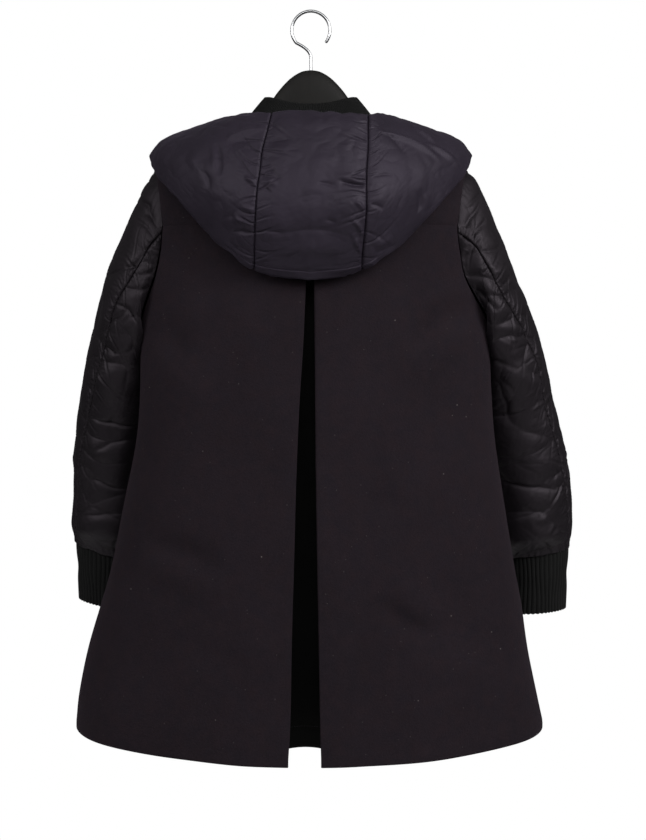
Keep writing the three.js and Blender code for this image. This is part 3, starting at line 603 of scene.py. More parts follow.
def settled(grid, slack, held, bed, seed):
    """Cloth cut longer than the form below it, by a share of its length down and across, settles into wrinkles.

    held is 1 where stitching holds it, and bed is how firmly the filling pulls it back to its form.
    """
    rows, columns = grid.shape[:2]
    base = grid.reshape(-1, 3)
    normals = grid_normals(grid, 1).reshape(-1, 3)
    free = (1 - held).reshape(-1, 1)
    start = FIRST_ROUGHNESS * (soft_noise(base, 6.0, seed) + 1.3 * soft_noise(base, 15.0, seed + 1))
    cloth = base + normals * start[:, None] * free
    down, across = slack[0].reshape(-1), slack[1].reshape(-1)
    pairs = []
    slant = (down + across) / 2
    for step, share, strength in (((1, 0), down, 1.0), ((0, 1), across, 1.0), ((1, 1), slant, BIAS_STRENGTH),
                                  ((1, -1), slant, BIAS_STRENGTH), ((2, 0), down, BEND_STRENGTH),
                                  ((0, 2), across, BEND_STRENGTH)):
        for first, second in edge_pairs(rows, columns, *step):
            rest = np.linalg.norm(base[second] - base[first], axis=1) * (1 + (share[first] + share[second]) / 2)
            pairs.append((first, second, rest, strength, free[first], free[second]))
    for _ in range(SETTLING_ROUNDS):
        for first, second, rest, strength, free_first, free_second in pairs:
            apart = cloth[second] - cloth[first]
            length = np.sqrt((apart * apart).sum(1))
            move = apart * (0.5 * strength * (length - rest) / length)[:, None]
            cloth[first] += move * free_first
            cloth[second] -= move * free_second
        gap = base - cloth
        height = (gap * normals).sum(1, keepdims=True)
        cloth += (gap * (0.3 * bed) + normals * (0.7 * bed * height)) * free
    return cloth.reshape(grid.shape)


# angle round the body from centre back, half width in degrees, height out of the face at the hem, and top
FLUTES = [
    (-74, 9, 4.5, 470), (-48, 10, -2.5, 420), (-25, 9, 1.6, 380), (24, 8, -1.4, 400), (47, 9, 2.2, 420),
    (76, 8, 4.0, 470), (98, 9, -4.0, 430), (122, 10, 4.5, 460), (148, 10, -3.0, 420), (-100, 10, -4.0, 430),
    (-125, 9, 4.0, 450), (-150, 11, -2.6, 410), (172, 9, 2.4, 400),
]


def drape(points):
    """Slow unevenness of hanging cloth, in millimetres out of its face, the same on both sides of a seam."""
    x, y, z = points[..., 0], points[..., 1], points[..., 2]
    turn = np.arctan2(x, -y)
    low = smoothstep(YOKE_SEAM - z, 40, 560)
    total = np.zeros_like(x)
    for angle, width, size, top in FLUTES:
        apart = np.angle(np.exp(1j * (turn - math.radians(angle)))) / math.radians(width)
        total += size * np.exp(-apart ** 2) * smoothstep(top - z, 0, 380)
    return total * low


# --- Body panels ---

BODY_ROWS = 147
PANEL_COLUMNS = 61
RETURN_COLUMNS = 13
TURN_COLUMNS = 9
YOKE_ROWS = 31
LAP_COLUMNS = 7

# Creases of the back, as seen: start x, z, end x, z, bow, half width, height out of the face
BACK_CREASES = {
    "left": [
        (-196, 520, -150, 476, 5, 22, -5.7), (-190, 470, -120, 420, 6, 26, 3.6),
        (-205, 252, -108, 222, 6, 17, -5.7), (-210, 226, -100, 192, 6, 20, 4.1),
        (-150, 120, -60, 100, 5, 20, -3.2), (-90, 560, -60, 430, 6, 24, 3.2),
        (-150, 610, -110, 540, 4, 20, -3.2),
    ],
    "right": [
        (206, 548, 126, 490, -8, 17, -8.9), (204, 512, 130, 452, -8, 20, 4.9),
        (88, 190, 150, 143, -6, 14, -6.1), (80, 214, 178, 166, -8, 18, 4.5), (60, 306, 122, 300, 3, 15, -3),
        (110, 116, 230, 92, 6, 22, 3.6), (90, 570, 110, 440, 4, 22, 3.2),
    ],
}
FRONT_CREASES = {
    "left": [
        (-205, 505, -110, 445, 8, 20, -3.6), (-180, 300, -70, 268, -6, 22, -2.0),
        (-90, 640, -70, 470, 5, 22, 1.8), (-200, 180, -90, 130, 8, 24, 2.0),
    ],
    "right": [
        (208, 500, 100, 450, -9, 22, -3.4), (180, 290, 60, 250, 7, 20, -2.2), (110, 630, 80, 430, 5, 24, 1.9),
        (215, 150, 100, 110, -8, 22, 1.8),
    ],
}


def seen_from_back(points):
    """x and z of the points."""
    return points[..., [0, 2]]


def wool_wall(name, grid, outward, thickness, edges, table, material, keep=1.0):
    """A wool panel: drape and creases on its outer grid, sewn edges turned in, and an even wall behind it."""
    amount = (drape(grid) + creases(seen_from_back(grid), table)) * keep
    grid = grid + grid_normals(grid, outward) * amount[..., None]
    normals = grid_normals(grid, outward)
    grid = seam_roll(grid, normals, 0.9, 3.0, edges)
    return put(name, wall_mesh(name, grid, grid - normals * thickness, uv_of(grid), bulge=0.55), material)


def back_grid(side):
    """Outer face of a back panel, from the end of its pleat return round the fold to the side seam."""
    height = np.linspace(HEM, YOKE_SEAM, BODY_ROWS)
    back, away, edge, nose = pleat_fold(side, height)
    radius = nose / 2
    first = across_angle(side, height, edge + radius) / edge_angle(side, height)
    share = first[:, None] + (1 - first[:, None]) * np.linspace(0, 1, PANEL_COLUMNS)
    panel = body_point(side, "back", height[:, None], share)
    reach = (1.33 * radius)[:, None]
    a = panel[:, 0]
    b = a - np.array([SIDES[side], 0, 0]) * reach
    d = back + away * radius[:, None]
    c = d - away * reach
    t = np.linspace(1, 0, TURN_COLUMNS)[:, None, None]
    turn = (1 - t) ** 3 * a + 3 * (1 - t) ** 2 * t * b + 3 * (1 - t) * t ** 2 * c + t ** 3 * d
    far = np.linspace(PLEAT_RETURN, 0, RETURN_COLUMNS)[:-1, None, None]
    inside = d + away * far
    return np.concatenate([inside, turn[:-1], panel.transpose(1, 0, 2)]).transpose(1, 0, 2)


def back_panel(side, material, thickness):
    grid = back_grid(side)
    keep = smoothstep(np.arange(grid.shape[1]) - (RETURN_COLUMNS + TURN_COLUMNS - 2), 0, 10)
    return wool_wall("wool_back_" + side, grid, SIDES[side], thickness, ("high", "end"),
                     BACK_CREASES[side], material, keep[None, :])


def back_yoke(material, thickness):
    climb = np.linspace(0, 1, YOKE_ROWS)[:, None]
    left = shoulder_point("left", "back", np.linspace(1, 0, PANEL_COLUMNS)[None], climb)
    right = shoulder_point("right", "back", np.linspace(0, 1, PANEL_COLUMNS)[None], climb)
    grid = np.concatenate([left, right[:, 1:]], 1)
    return wool_wall("wool_back_yoke", grid, 1, thickness, ("low", "high", "start", "end"), (), material)


def front_grid(side):
    """Outer face of a front, from the edge of its lap to the side seam, up to the shoulder."""
    height = np.linspace(HEM, YOKE_SEAM, BODY_ROWS)
    low_lap = across_angle(side, height, np.full_like(height, FRONT_LAP)) / edge_angle(side, height)
    top_lap = NECK_SHARE * math.asin(FRONT_LAP / NECK_POINT[0]) / (math.pi / 2)
    climb = np.linspace(0, 1, YOKE_ROWS)[1:]

    def shares(lap):
        panel = np.broadcast_to(np.linspace(0, 1, PANEL_COLUMNS), (len(lap), PANEL_COLUMNS))
        return np.concatenate([-lap[:, None] * np.linspace(1, 0, LAP_COLUMNS)[:-1], panel], 1)

    low, high = shares(low_lap), shares(mix(low_lap[-1], top_lap, climb))
    grid = np.concatenate([body_point(side, "front", height[:, None], low),
                           shoulder_point(side, "front", high, climb[:, None])])
    if side == "left":
        share = np.concatenate([low, high])
        grid[..., 1] -= LAP_STEP * (1 - smoothstep(share * 10, 1, 2))
    return grid


def front_panel(side, material, thickness):
    grid = front_grid(side)
    return wool_wall("wool_front_" + side, grid, -SIDES[side], thickness, ("high", "end"),
                     FRONT_CREASES[side], material)


def underlay_grid():
    """The cloth behind the pleat, which bows inwards between the ends of the two returns."""
    height = np.linspace(UNDERLAY_HEM, YOKE_SEAM, BODY_ROWS)
    folds = [pleat_fold(side, height) for side in SIDES]
    left, right = (back + away * PLEAT_RETURN for back, away, _, _ in folds)
    chord = np.abs(right[:, 0] - left[:, 0])
    bow = np.sqrt(np.clip(3 / 8 * chord * (UNDERLAY_WIDTH - chord), 0, None))
    t = np.linspace(0, 1, 25)[None, :, None]
    grid = mix(left[:, None], right[:, None], t)
    grid[..., 1] += UNDERLAY_GAP + bow[:, None] * np.sin(math.pi * t[..., 0])
    return grid


def pleat_underlay(material, thickness):
    """The underlay, pressed in along its hem's stitches."""
    name = "twill_pleat_underlay"
    grid = underlay_grid()
    normals = grid_normals(grid, 1)
    hem = np.exp(-((grid[..., 2] - UNDERLAY_HEM - UNDERLAY_TURN) / 2.2) ** 2)
    grid = grid - normals * (0.7 * hem)[..., None]
    return put(name, wall_mesh(name, grid, grid - normals * thickness, uv_of(grid), bulge=0.6), material)


# --- Rib knit ---

RIB_COLUMNS = 10
CUFF_ROWS = 19
CUFF_WIDTH, CUFF_RADIUS = 76, 36  # mean, for the count of ribs and for the flat pattern


def new_tree(name, **sizes):
    """A geometry tree with named sizes, with its input node."""
    tree = bpy.data.node_groups.new(name, "GeometryNodeTree")
    face = tree.interface
    face.new_socket("Geometry", in_out="INPUT", socket_type="NodeSocketGeometry")
    for size, value in sizes.items():
        face.new_socket(size, in_out="INPUT", socket_type="NodeSocketFloat").default_value = value
    face.new_socket("Geometry", in_out="OUTPUT", socket_type="NodeSocketGeometry")
    return tree, tree.nodes.new("NodeGroupInput")


def close_tree(tree, geometry, material):
    """Ends a tree: instances made real, and painted."""
    real = tree.nodes.new("GeometryNodeRealizeInstances")
    paint = tree.nodes.new("GeometryNodeSetMaterial")
    paint.inputs["Material"].default_value = material
    tree.links.new(geometry, real.inputs[0])
    tree.links.new(real.outputs[0], paint.inputs["Geometry"])
    tree.links.new(paint.outputs[0], tree.nodes.new("NodeGroupOutput").inputs[0])
    return tree


def rib_tree(material):
    """Ribs that stand up along a wall, from a point attribute that counts the share of its length."""
    tree, start = new_tree("Rib knit", Ribs=80.0, Depth=0.001)
    nodes, links = tree.nodes, tree.links
    share = nodes.new("GeometryNodeInputNamedAttribute")
    share.data_type = "FLOAT"
    share.inputs["Name"].default_value = "across"
    place = nodes.new("GeometryNodeSetPosition")
    normal = nodes.new("GeometryNodeInputNormal")
    scale = nodes.new("ShaderNodeVectorMath")
    scale.operation = "SCALE"

    def maths(operation, a, b):
        step = nodes.new("ShaderNodeMath")
        step.operation = operation
        for socket, value in zip(step.inputs, (a, b)):
            if hasattr(value, "links"):
                links.new(value, socket)
            else:
                socket.default_value = value
        return step.outputs[0]

    turns = maths("MULTIPLY", share.outputs["Attribute"], start.outputs["Ribs"])
    wave = maths("ABSOLUTE", maths("SINE", maths("MULTIPLY", turns, math.pi), 0.0), 0.0)
    round_top = maths("POWER", wave, 0.75)
    height = maths("MULTIPLY", maths("SUBTRACT", round_top, 0.72), start.outputs["Depth"])
    links.new(normal.outputs[0], scale.inputs[0])
    links.new(height, scale.inputs["Scale"])
    links.new(start.outputs["Geometry"], place.inputs["Geometry"])
    links.new(scale.outputs[0], place.inputs["Offset"])
    return close_tree(tree, place.outputs["Geometry"], material)


def made_plain(piece, modifier):
    """The piece with its modifier's result as its plain mesh."""
    result = bpy.data.meshes.new_from_object(piece.evaluated_get(bpy.context.evaluated_depsgraph_get()))
    piece.modifiers.remove(modifier)
    old, piece.data = piece.data, result
    bpy.data.meshes.remove(old)
    result.name = piece.name
    result.shade_smooth()
    return piece


def grown(piece, tree, **inputs):
    """The piece with a tree's result as its plain mesh."""
    modifier = piece.modifiers.new(tree.name, "NODES")
    modifier.node_group = tree
    for item in tree.interface.items_tree:
        if item.in_out == "INPUT" and item.name in inputs:
            modifier[item.identifier] = inputs[item.name]
    return made_plain(piece, modifier)


def rim_share(share, around):
    """The share of each vertex of wall_mesh(), rims included."""
    flat = share.ravel()
    parts = [flat, share[::2, ::2].ravel()]
    for loop, _ in border(*share.shape, around):
        parts += [flat[loop]] * RIM_CUTS
    return np.concatenate(parts)


COLLAR_END_ANGLE = 179.3  # where the ends meet at centre front


def collar_grid(count, rows):
    """The collar from its neck seam up to its rim."""
    signed = np.linspace(-COLLAR_END_ANGLE, COLLAR_END_ANGLE, count)
    angle = np.abs(signed)
    sign = np.where(signed < 0, -1, 1)
    rim = np.stack([sign * column(COLLAR_RIM, 1, angle), column(COLLAR_RIM, 2, angle),
                    column(COLLAR_RIM, 3, angle)], -1)
    share = NECK_SHARE * np.where(angle <= 90, angle, 180 - angle) / 90
    back, front = top_point("right", "back", share), top_point("right", "front", share)
    base = np.where((angle <= 90)[:, None], back, front)
    base[:, 0] *= sign
    base[:, 2] += SEAM_GAP
    climb = np.linspace(0, 1, rows)[:, None, None]
    return mix(base, rim, climb)


def ribbed(name, outer, inner, uv, share, around, material, tree, ribs, depth):
    """A knit wall with its ribs grown, where share counts from 0 to 1 along the wall."""
    mesh = wall_mesh(name, outer, inner, uv, around=around, bulge=0.9)
    attribute = mesh.attributes.new("across", "FLOAT", "POINT")
    attribute.data.foreach_set("value", rim_share(share, around).astype(np.float32))
    return grown(put(name, mesh, material), tree, Ribs=float(ribs), Depth=depth * MM)


def collar(material, tree, pitch, depth, thickness):
    """The stand collar, a little slack between its seam and its rim."""
    length = lengths(collar_grid(361, 2), 1)[0, -1]
    ribs = int(round(length / pitch))
    grid = collar_grid(RIB_COLUMNS * ribs + 1, 15)
    climb = np.linspace(0, 1, len(grid))[:, None]
    normals = grid_normals(grid, 1)
    share = np.broadcast_to(np.linspace(0, 1, grid.shape[1]), grid.shape[:2])
    wave = 1.2 * np.sin(math.pi * climb) * (1 + 0.5 * np.sin(9 * share * math.pi + 0.8))
    normals[0, :, 2] = 0
    normals[0] = unit(normals[0])
    grid = grid - normals * (0.9 + 1.6 * np.exp(-(climb / 0.09) ** 2) - wave)[..., None]
    inner = grid - normals * (thickness - 1.2)
    return ribbed("knit_collar", grid, inner, uv_of(grid), share, False, material, tree, ribs, depth)


def cuff_ring(side, down, angle):
    """Points round a cuff at a share of its depth, with its ribs led a little aside."""
    led = angle + 0.07 * math.sin(2.6 * down) * np.sin(2 * angle + 1.0)
    led += 0.03 * math.sin(5.0 * down) * np.sin(5 * angle)
    return ring_point(side, table_row(CUFF[side], 2 * down), led)


def cuff(side, material, tree, pitch, depth, thickness):
    """A cuff, dented a little as it hangs."""
    ribs = 2 * int(round(np.pi * CUFF_WIDTH / pitch / 2))
    angle = np.linspace(0, 2 * math.pi, RIB_COLUMNS * ribs + 1)[:-1]
    outer = np.array([cuff_ring(side, down, angle) for down in np.linspace(0, 1, CUFF_ROWS)])
    outer[0, :, 2] -= SEAM_GAP
    share = np.broadcast_to(angle / (2 * math.pi), outer.shape[:2])
    down = np.linspace(0, 1, CUFF_ROWS)[:, None]
    normals = ring_normals(outer)
    dent = 1.6 * np.exp(-((down - 0.42) / 0.16) ** 2) * np.sin(2 * math.pi * share * 2 + 1.1 + 2.0 * down)
    outer = outer - normals * (1.0 + dent + 0.3 * np.exp(-(down / 0.05) ** 2))[..., None]
    inner = outer - normals * (thickness - 1.2)
    uv = np.stack([share * 2 * np.pi * CUFF_RADIUS, lengths(outer, 0)], -1)
    return ribbed("knit_cuff_" + side, outer, inner, uv, share, True, material, tree, ribs, depth)


# --- Padded pieces ---


def resampled(grid, rows, columns, around=False):
    """The grid on smooth curves through its points, at fractional row and column numbers."""
    def along(points, places, closed):
        count = len(points)
        i = np.floor(places).astype(int)
        if not closed:
            i = np.clip(i, 0, count - 2)
        t = (places - i).reshape(-1, 1, 1)
        a, b, c, d = (points[(i + k) % count if closed else np.clip(i + k, 0, count - 1)] for k in (-1, 0, 1, 2))
        return b + 0.5 * t * (c - a + t * (2 * a - 5 * b + 4 * c - d + t * (3 * b - a - 3 * c + d)))
    return along(along(grid, rows, False).swapaxes(0, 1), columns, around).swapaxes(0, 1)


def stretches(*marks):
    """Places that run through marks, each given as a place and the number of steps up to it."""
    runs = [np.array([float(marks[0])])]
    for place, steps in marks[1:]:
        runs.append(np.linspace(runs[-1][-1], place, steps + 1)[1:])
    return np.concatenate(runs)


# The stuff of a padded wall's two faces, pinned and shrunk by vertex groups
DOWN_CLOTH = {
    "quality": 4, "mass": 0.2, "tension_stiffness": 12, "compression_stiffness": 12, "shear_stiffness": 4,
    "bending_stiffness": 0.08, "air_damping": 4, "vertex_group_mass": "held", "use_pressure": True,
    "vertex_group_shrink": "loose", "shrink_min": 0.0,
}


def inflated(outer, inner, around, held, padding, frames, cap):
    """Both faces of a padded wall after cloth pressure from inside, moved by no more than the cap.

    held is 1 where stitching holds them.
    """
    rows, columns = outer.shape[:2]
    size = rows * columns
    quads = quads_of(np.arange(size).reshape(rows, columns), around)
    faces = [quads, quads[:, ::-1] + size]
    for loop, _ in border(rows, columns, around):
        after = np.roll(loop, -1)
        faces.append(np.stack([after, loop, loop + size, after + size], -1))
    points, faces = np.concatenate([outer.reshape(-1, 3), inner.reshape(-1, 3)]), np.concatenate(faces)
    if volume_of(points, faces) < 0:
        faces = faces[:, ::-1]
    mesh = make_mesh("padding", points, [faces])
    pad = bpy.data.objects.new("padding", mesh)
    scene = bpy.context.scene
    scene.collection.objects.link(pad)
    pins, loose = pad.vertex_groups.new(name="held"), pad.vertex_groups.new(name="loose")
    weight = np.concatenate([held.ravel()] * 2)
    for level in np.unique(np.round(weight, 2)):
        chosen = np.flatnonzero(np.round(weight, 2) == level).tolist()
        pins.add(chosen, float(level), "REPLACE")
        loose.add(chosen, float(1 - level), "REPLACE")
    cloth = pad.modifiers.new("padding", "CLOTH")
    settings = cloth.settings
    for key, value in DOWN_CLOTH.items():
        setattr(settings, key, value)
    settings.uniform_pressure_force = padding.pressure
    settings.shrink_max = -padding.slack
    settings.effector_weights.gravity = 0
    cloth.collision_settings.use_collision = False
    cloth.point_cache.frame_start, cloth.point_cache.frame_end = 1, frames
    for number in range(1, frames + 1):
        scene.frame_set(number)
    shaped = pad.evaluated_get(bpy.context.evaluated_depsgraph_get()).data
    after = np.empty(len(shaped.vertices) * 3, np.float32)
    shaped.vertices.foreach_get("co", after)
    after = after.reshape(-1, 3).astype(float) / MM + np.array([0, 0, RAIL_HEIGHT])
    bpy.data.objects.remove(pad)
    bpy.data.meshes.remove(mesh)
    scene.frame_set(1)
    move = after - points
    far = np.linalg.norm(move, axis=1, keepdims=True)
    after = points + move * np.minimum(1, cap / np.maximum(far, 1e-9))
    return after[:size].reshape(outer.shape), after[size:].reshape(inner.shape)


def surface_tree(grids):
    """A search tree over outer faces, each given as a grid and its outward sign."""
    points, faces = [], []
    start = 0
    for grid, outward in grids:
        rows, columns = grid.shape[:2]
        quads = quads_of(np.arange(start, start + rows * columns).reshape(rows, columns))
        faces.append(quads if outward > 0 else quads[:, ::-1])
        points.append(grid.reshape(-1, 3))
        start += rows * columns
    return BVHTree.FromPolygons(np.concatenate(points).tolist(), np.concatenate(faces).tolist())


def wide_of(places, last=None):
    """Column places with one more just past either end, for even directions up to the edge."""
    wide = np.concatenate([[places[0] - 0.25], places, [places[-1] + 0.25]])
    return wide if last is None else np.clip(wide, 0, last)


def gapped(outer, inner, least):
    """The inner face, moved away from the outer where the wall is thinner than the least."""
    wall = np.linalg.norm(outer - inner, axis=-1, keepdims=True)
    return inner + (inner - outer) / np.maximum(wall, 0.1) * np.clip(least - wall, 0, None)


def padded_piece(name, outer, inner, material, bulge):
    """One panel's two faces as a piece that ends just short of the seams beside it."""
    uv = uv_of(outer)
    for face in (outer, inner):
        face[:, 0] += unit(face[:, 1] - face[:, 0]) * SEAM_GAP
        face[:, -1] += unit(face[:, -2] - face[:, -1]) * SEAM_GAP
    return put(name, wall_mesh(name, outer, inner, uv, bulge=bulge), material)


def lifted(points, tree, clearance, reach=40.0, aside=1e9):
    """Points nearer to a surface than the clearance, or behind it, move out to it.

    Points whose nearest place is an edge of the surface, further aside than that, stay.
    """
    flat = points.reshape(-1, 3).copy()
    gap = np.broadcast_to(clearance, points.shape[:-1]).ravel()
    for k, p in enumerate(flat):
        place, normal, _, distance = tree.find_nearest(Vector(p), reach)
        if place is None:
            continue
        height = (Vector(p) - place).dot(normal)
        if height < gap[k] and distance * distance - height * height < aside * aside:
            flat[k] = p + np.array(normal) * (gap[k] - height)
    return flat.reshape(points.shape)


# --- Sleeves ---

SLEEVE_ROWS = 112
SLEEVE_COLUMNS = np.concatenate([np.linspace(0, BACK_SEAM, 21)[:-1], np.linspace(BACK_SEAM, FRONT_SEAM, 35)[:-1],
                                 np.linspace(FRONT_SEAM, LOOP_END, 29)[:-1]])
BACK_SEAM_COLUMN, FRONT_SEAM_COLUMN = 20, 54
SLEEVE_SEAM_WALL = 3.4
SLEEVE_LEAST_WALL = 2.4
SLEEVE_GATHERS, CUFF_GATHERS = (20.0, 24.0, 2.3), (9.0, 22.0, 2.2)  # spacing, reach and depth

# Cross folds of the sleeves as seen from the back: start x, z, end x, z, bow, half width, height
SLEEVE_CREASES = {
    "right": [
        (188, 640, 214, 676, -2, 4, -3), (194, 664, 222, 690, 2, 4, -2.2), (190, 622, 218, 652, -2, 3.4, -2.4),
        (192, 610, 210, 628, 1, 2.9, -2.3), (198, 596, 222, 616, 2, 5.2, 0.8), (204, 570, 230, 538, -3, 4, -3.6),
        (212, 578, 240, 546, -3, 6.3, 1), (226, 501, 290, 500, 5, 4, -3.5), (228, 512, 284, 512, 5, 6.9, 1),
        (232, 452, 252, 402, 4, 3.6, -1.7), (232, 402, 274, 412, -4, 3.6, -3.2), (236, 392, 282, 398, -4, 6.9, 1),
        (246, 348, 292, 358, -4, 10.3, 0.8), (242, 332, 300, 342, 4, 4.7, -1.7), (242, 318, 324, 304, -3, 4, -3.6),
        (250, 304, 310, 282, -3, 10.3, 0.8), (262, 262, 318, 280, 3, 5.8, -1.6), (226, 474, 262, 462, 3, 4.3, -2),
    ],
    "left": [
        (-214, 676, -188, 640, 2, 4, -3), (-222, 690, -196, 660, -2, 4, -2.2), (-218, 652, -190, 624, 2, 3.4, -2.4),
        (-228, 604, -210, 551, 4, 5.8, 1), (-226, 584, -200, 610, 2, 3.2, -2.7), (-232, 588, -206, 592, 2, 3.2, -1.9),
        (-238, 544, -214, 524, 2, 3.2, -3), (-270, 501, -218, 538, 5, 4, -3.5), (-266, 490, -214, 522, 5, 6.9, 1),
        (-276, 448, -258, 502, 4, 3.6, -2), (-262, 494, -246, 482, 1, 3.2, -2.3), (-272, 466, -214, 452, 4, 8, 0.8),
        (-288, 400, -217, 390, -3, 4, -3.6), (-286, 386, -220, 420, 3, 7.5, 1), (-288, 352, -222, 372, 5, 4.7, -2.2),
        (-293, 320, -236, 306, -3, 4, -3.7), (-286, 302, -232, 284, -3, 10.3, 0.8),
        (-300, 266, -240, 272, 3, 3.6, -2),
    ],
}
# Where the filling swells between the cross folds, in the same terms
SLEEVE_PUFFS = {
    "right": [
        (222, 452, 300, 456, 0, 27, 3.4), (230, 356, 312, 360, 0, 28, 3.6), (246, 268, 324, 262, 0, 24, 3.2),
        (214, 536, 276, 540, 0, 20, 2.2),
    ],
    "left": [
        (-296, 446, -214, 442, 0, 26, 3), (-300, 352, -222, 346, 0, 26, 3.4), (-306, 264, -230, 258, 0, 22, 3),
        (-272, 530, -212, 536, 0, 20, 2),
    ],
}
# The same on the faces that point out and forward, by loop place and distance from the armhole
SLEEVE_OUTER_CREASES = [
    (14.2, 96, 19.0, 118, 8, 6.5, -3.4), (-0.5, 150, 4.0, 166, 6, 6.0, -3.0), (13.6, 205, 17.6, 190, -8, 7.0, -4.0),
    (16.5, 236, 20.6, 262, 8, 6.5, -4.2), (13.8, 292, 18.4, 306, 8, 7.0, -3.8), (0.2, 330, 4.4, 320, 6, 6.0, -3.2),
    (15.0, 372, 19.5, 356, -8, 6.5, -4.2), (13.8, 418, 18.0, 426, 6, 6.0, -3.4), (17.0, 446, 21.0, 438, 5, 5.5, -3.0),
    (14.0, 130, 18.2, 146, 8, 8.0, 2.4), (14.4, 330, 19.0, 338, 6, 8.0, 2.6), (0.0, 400, 4.0, 392, 5, 8.0, 2.4),
]


STRAYS = {"left": (11, 1.2), "right": (12, 0.5)}  # seed, and how deep they are
STRAY_COUNT = 52


def stray_folds(side):
    """Small folds strewn over the back of a sleeve, most of them rising to the right, in the terms above."""
    seed, depth = STRAYS[side]
    chance = np.random.default_rng(seed)
    rows = []
    for at in np.linspace(0.4, 8.7, STRAY_COUNT):
        row, share = table_row(SLEEVE[side], at), chance.uniform(0.15, 0.85)
        x, z = mix(row[2], row[0], share), mix(row[3], row[1], share)
        angle = math.radians(chance.uniform(10, 62) if chance.random() < 0.75 else chance.uniform(-60, -15))
        half = chance.uniform(8, 22)
        height = chance.choice([-1.0, -1.0, 1.0]) * chance.uniform(0.8, 2.4) * depth
        over, up = half * math.cos(angle), half * math.sin(angle)
        rows.append((x - over, z - up, x + over, z + up, chance.uniform(-3, 3), chance.uniform(2.6, 5.8), height))
    return rows


def sleeve_outer(side, places):
    """Plain outer face of a sleeve at loop places, from the armhole down."""
    table = SLEEVE[side]
    loop = armhole_loop(side, places)
    loop[:, 0] += SIDES[side] * SEAM_GAP / 2
    rings = []
    for at in np.linspace(0, len(table) - 1, 19):
        ring = table_row(table, at)
        rings.append(ring_point(side, ring, loop_angle(places, ring[7])))
    return along_rows(np.array([loop] + rings), np.linspace(0, 1, SLEEVE_ROWS))


def sleeve_wall(rows, wall):
    """Padding between the faces by row: pressed flat at the armhole and at the cuff."""
    share = np.linspace(0, 1, rows)
    full = smoothstep(share, 0, 0.07) * smoothstep(1 - share, 0, 0.05)
    return mix(SLEEVE_SEAM_WALL, wall, full)


def sleeve_faces(side, padding):
    """Outer and inner face of a sleeve, filled and creased."""
    outer = sleeve_outer(side, SLEEVE_COLUMNS)
    normals = ring_normals(outer)
    rows, columns = outer.shape[:2]
    inner = outer - normals * sleeve_wall(rows, padding.sleeve_wall / MM)[:, None, None]
    held = np.zeros((rows, columns))
    held[:2], held[-2:] = 1, 1
    held[:, [BACK_SEAM_COLUMN, FRONT_SEAM_COLUMN]] = 1
    outer = outer - normals * 1.5
    outer, inner = inflated(outer, inner, True, held, padding, 16, 7.0)
    return outer, inner


SLEEVE_FINE_ROWS = np.linspace(0, SLEEVE_ROWS - 1, 281)
SLEEVE_AROUND = len(SLEEVE_COLUMNS)
SLEEVE_PANELS = {
    "under": stretches(BACK_SEAM_COLUMN, (BACK_SEAM_COLUMN + 3, 12), (FRONT_SEAM_COLUMN - 3, 70),
                       (FRONT_SEAM_COLUMN, 12)),
    "top": stretches(FRONT_SEAM_COLUMN, (FRONT_SEAM_COLUMN + 3, 12), (SLEEVE_AROUND + BACK_SEAM_COLUMN - 3, 106),
                     (SLEEVE_AROUND + BACK_SEAM_COLUMN, 12)),
}
SLEEVE_SEEDS = {"left": 100, "right": 200, "under": 0, "top": 50}
LOOP_STEP = 18  # millimetres that a loop place stands for in the outer creases


def panel_skin(rows, columns, *sides):
    """Outer faces of the body's panels, every so many rows and columns: the fronts, then the backs."""
    first = RETURN_COLUMNS + TURN_COLUMNS - 2
    return ([(front_grid(side)[::rows, ::columns], -SIDES[side]) for side in sides]
            + [(back_grid(side)[::rows, first::columns], SIDES[side]) for side in sides])


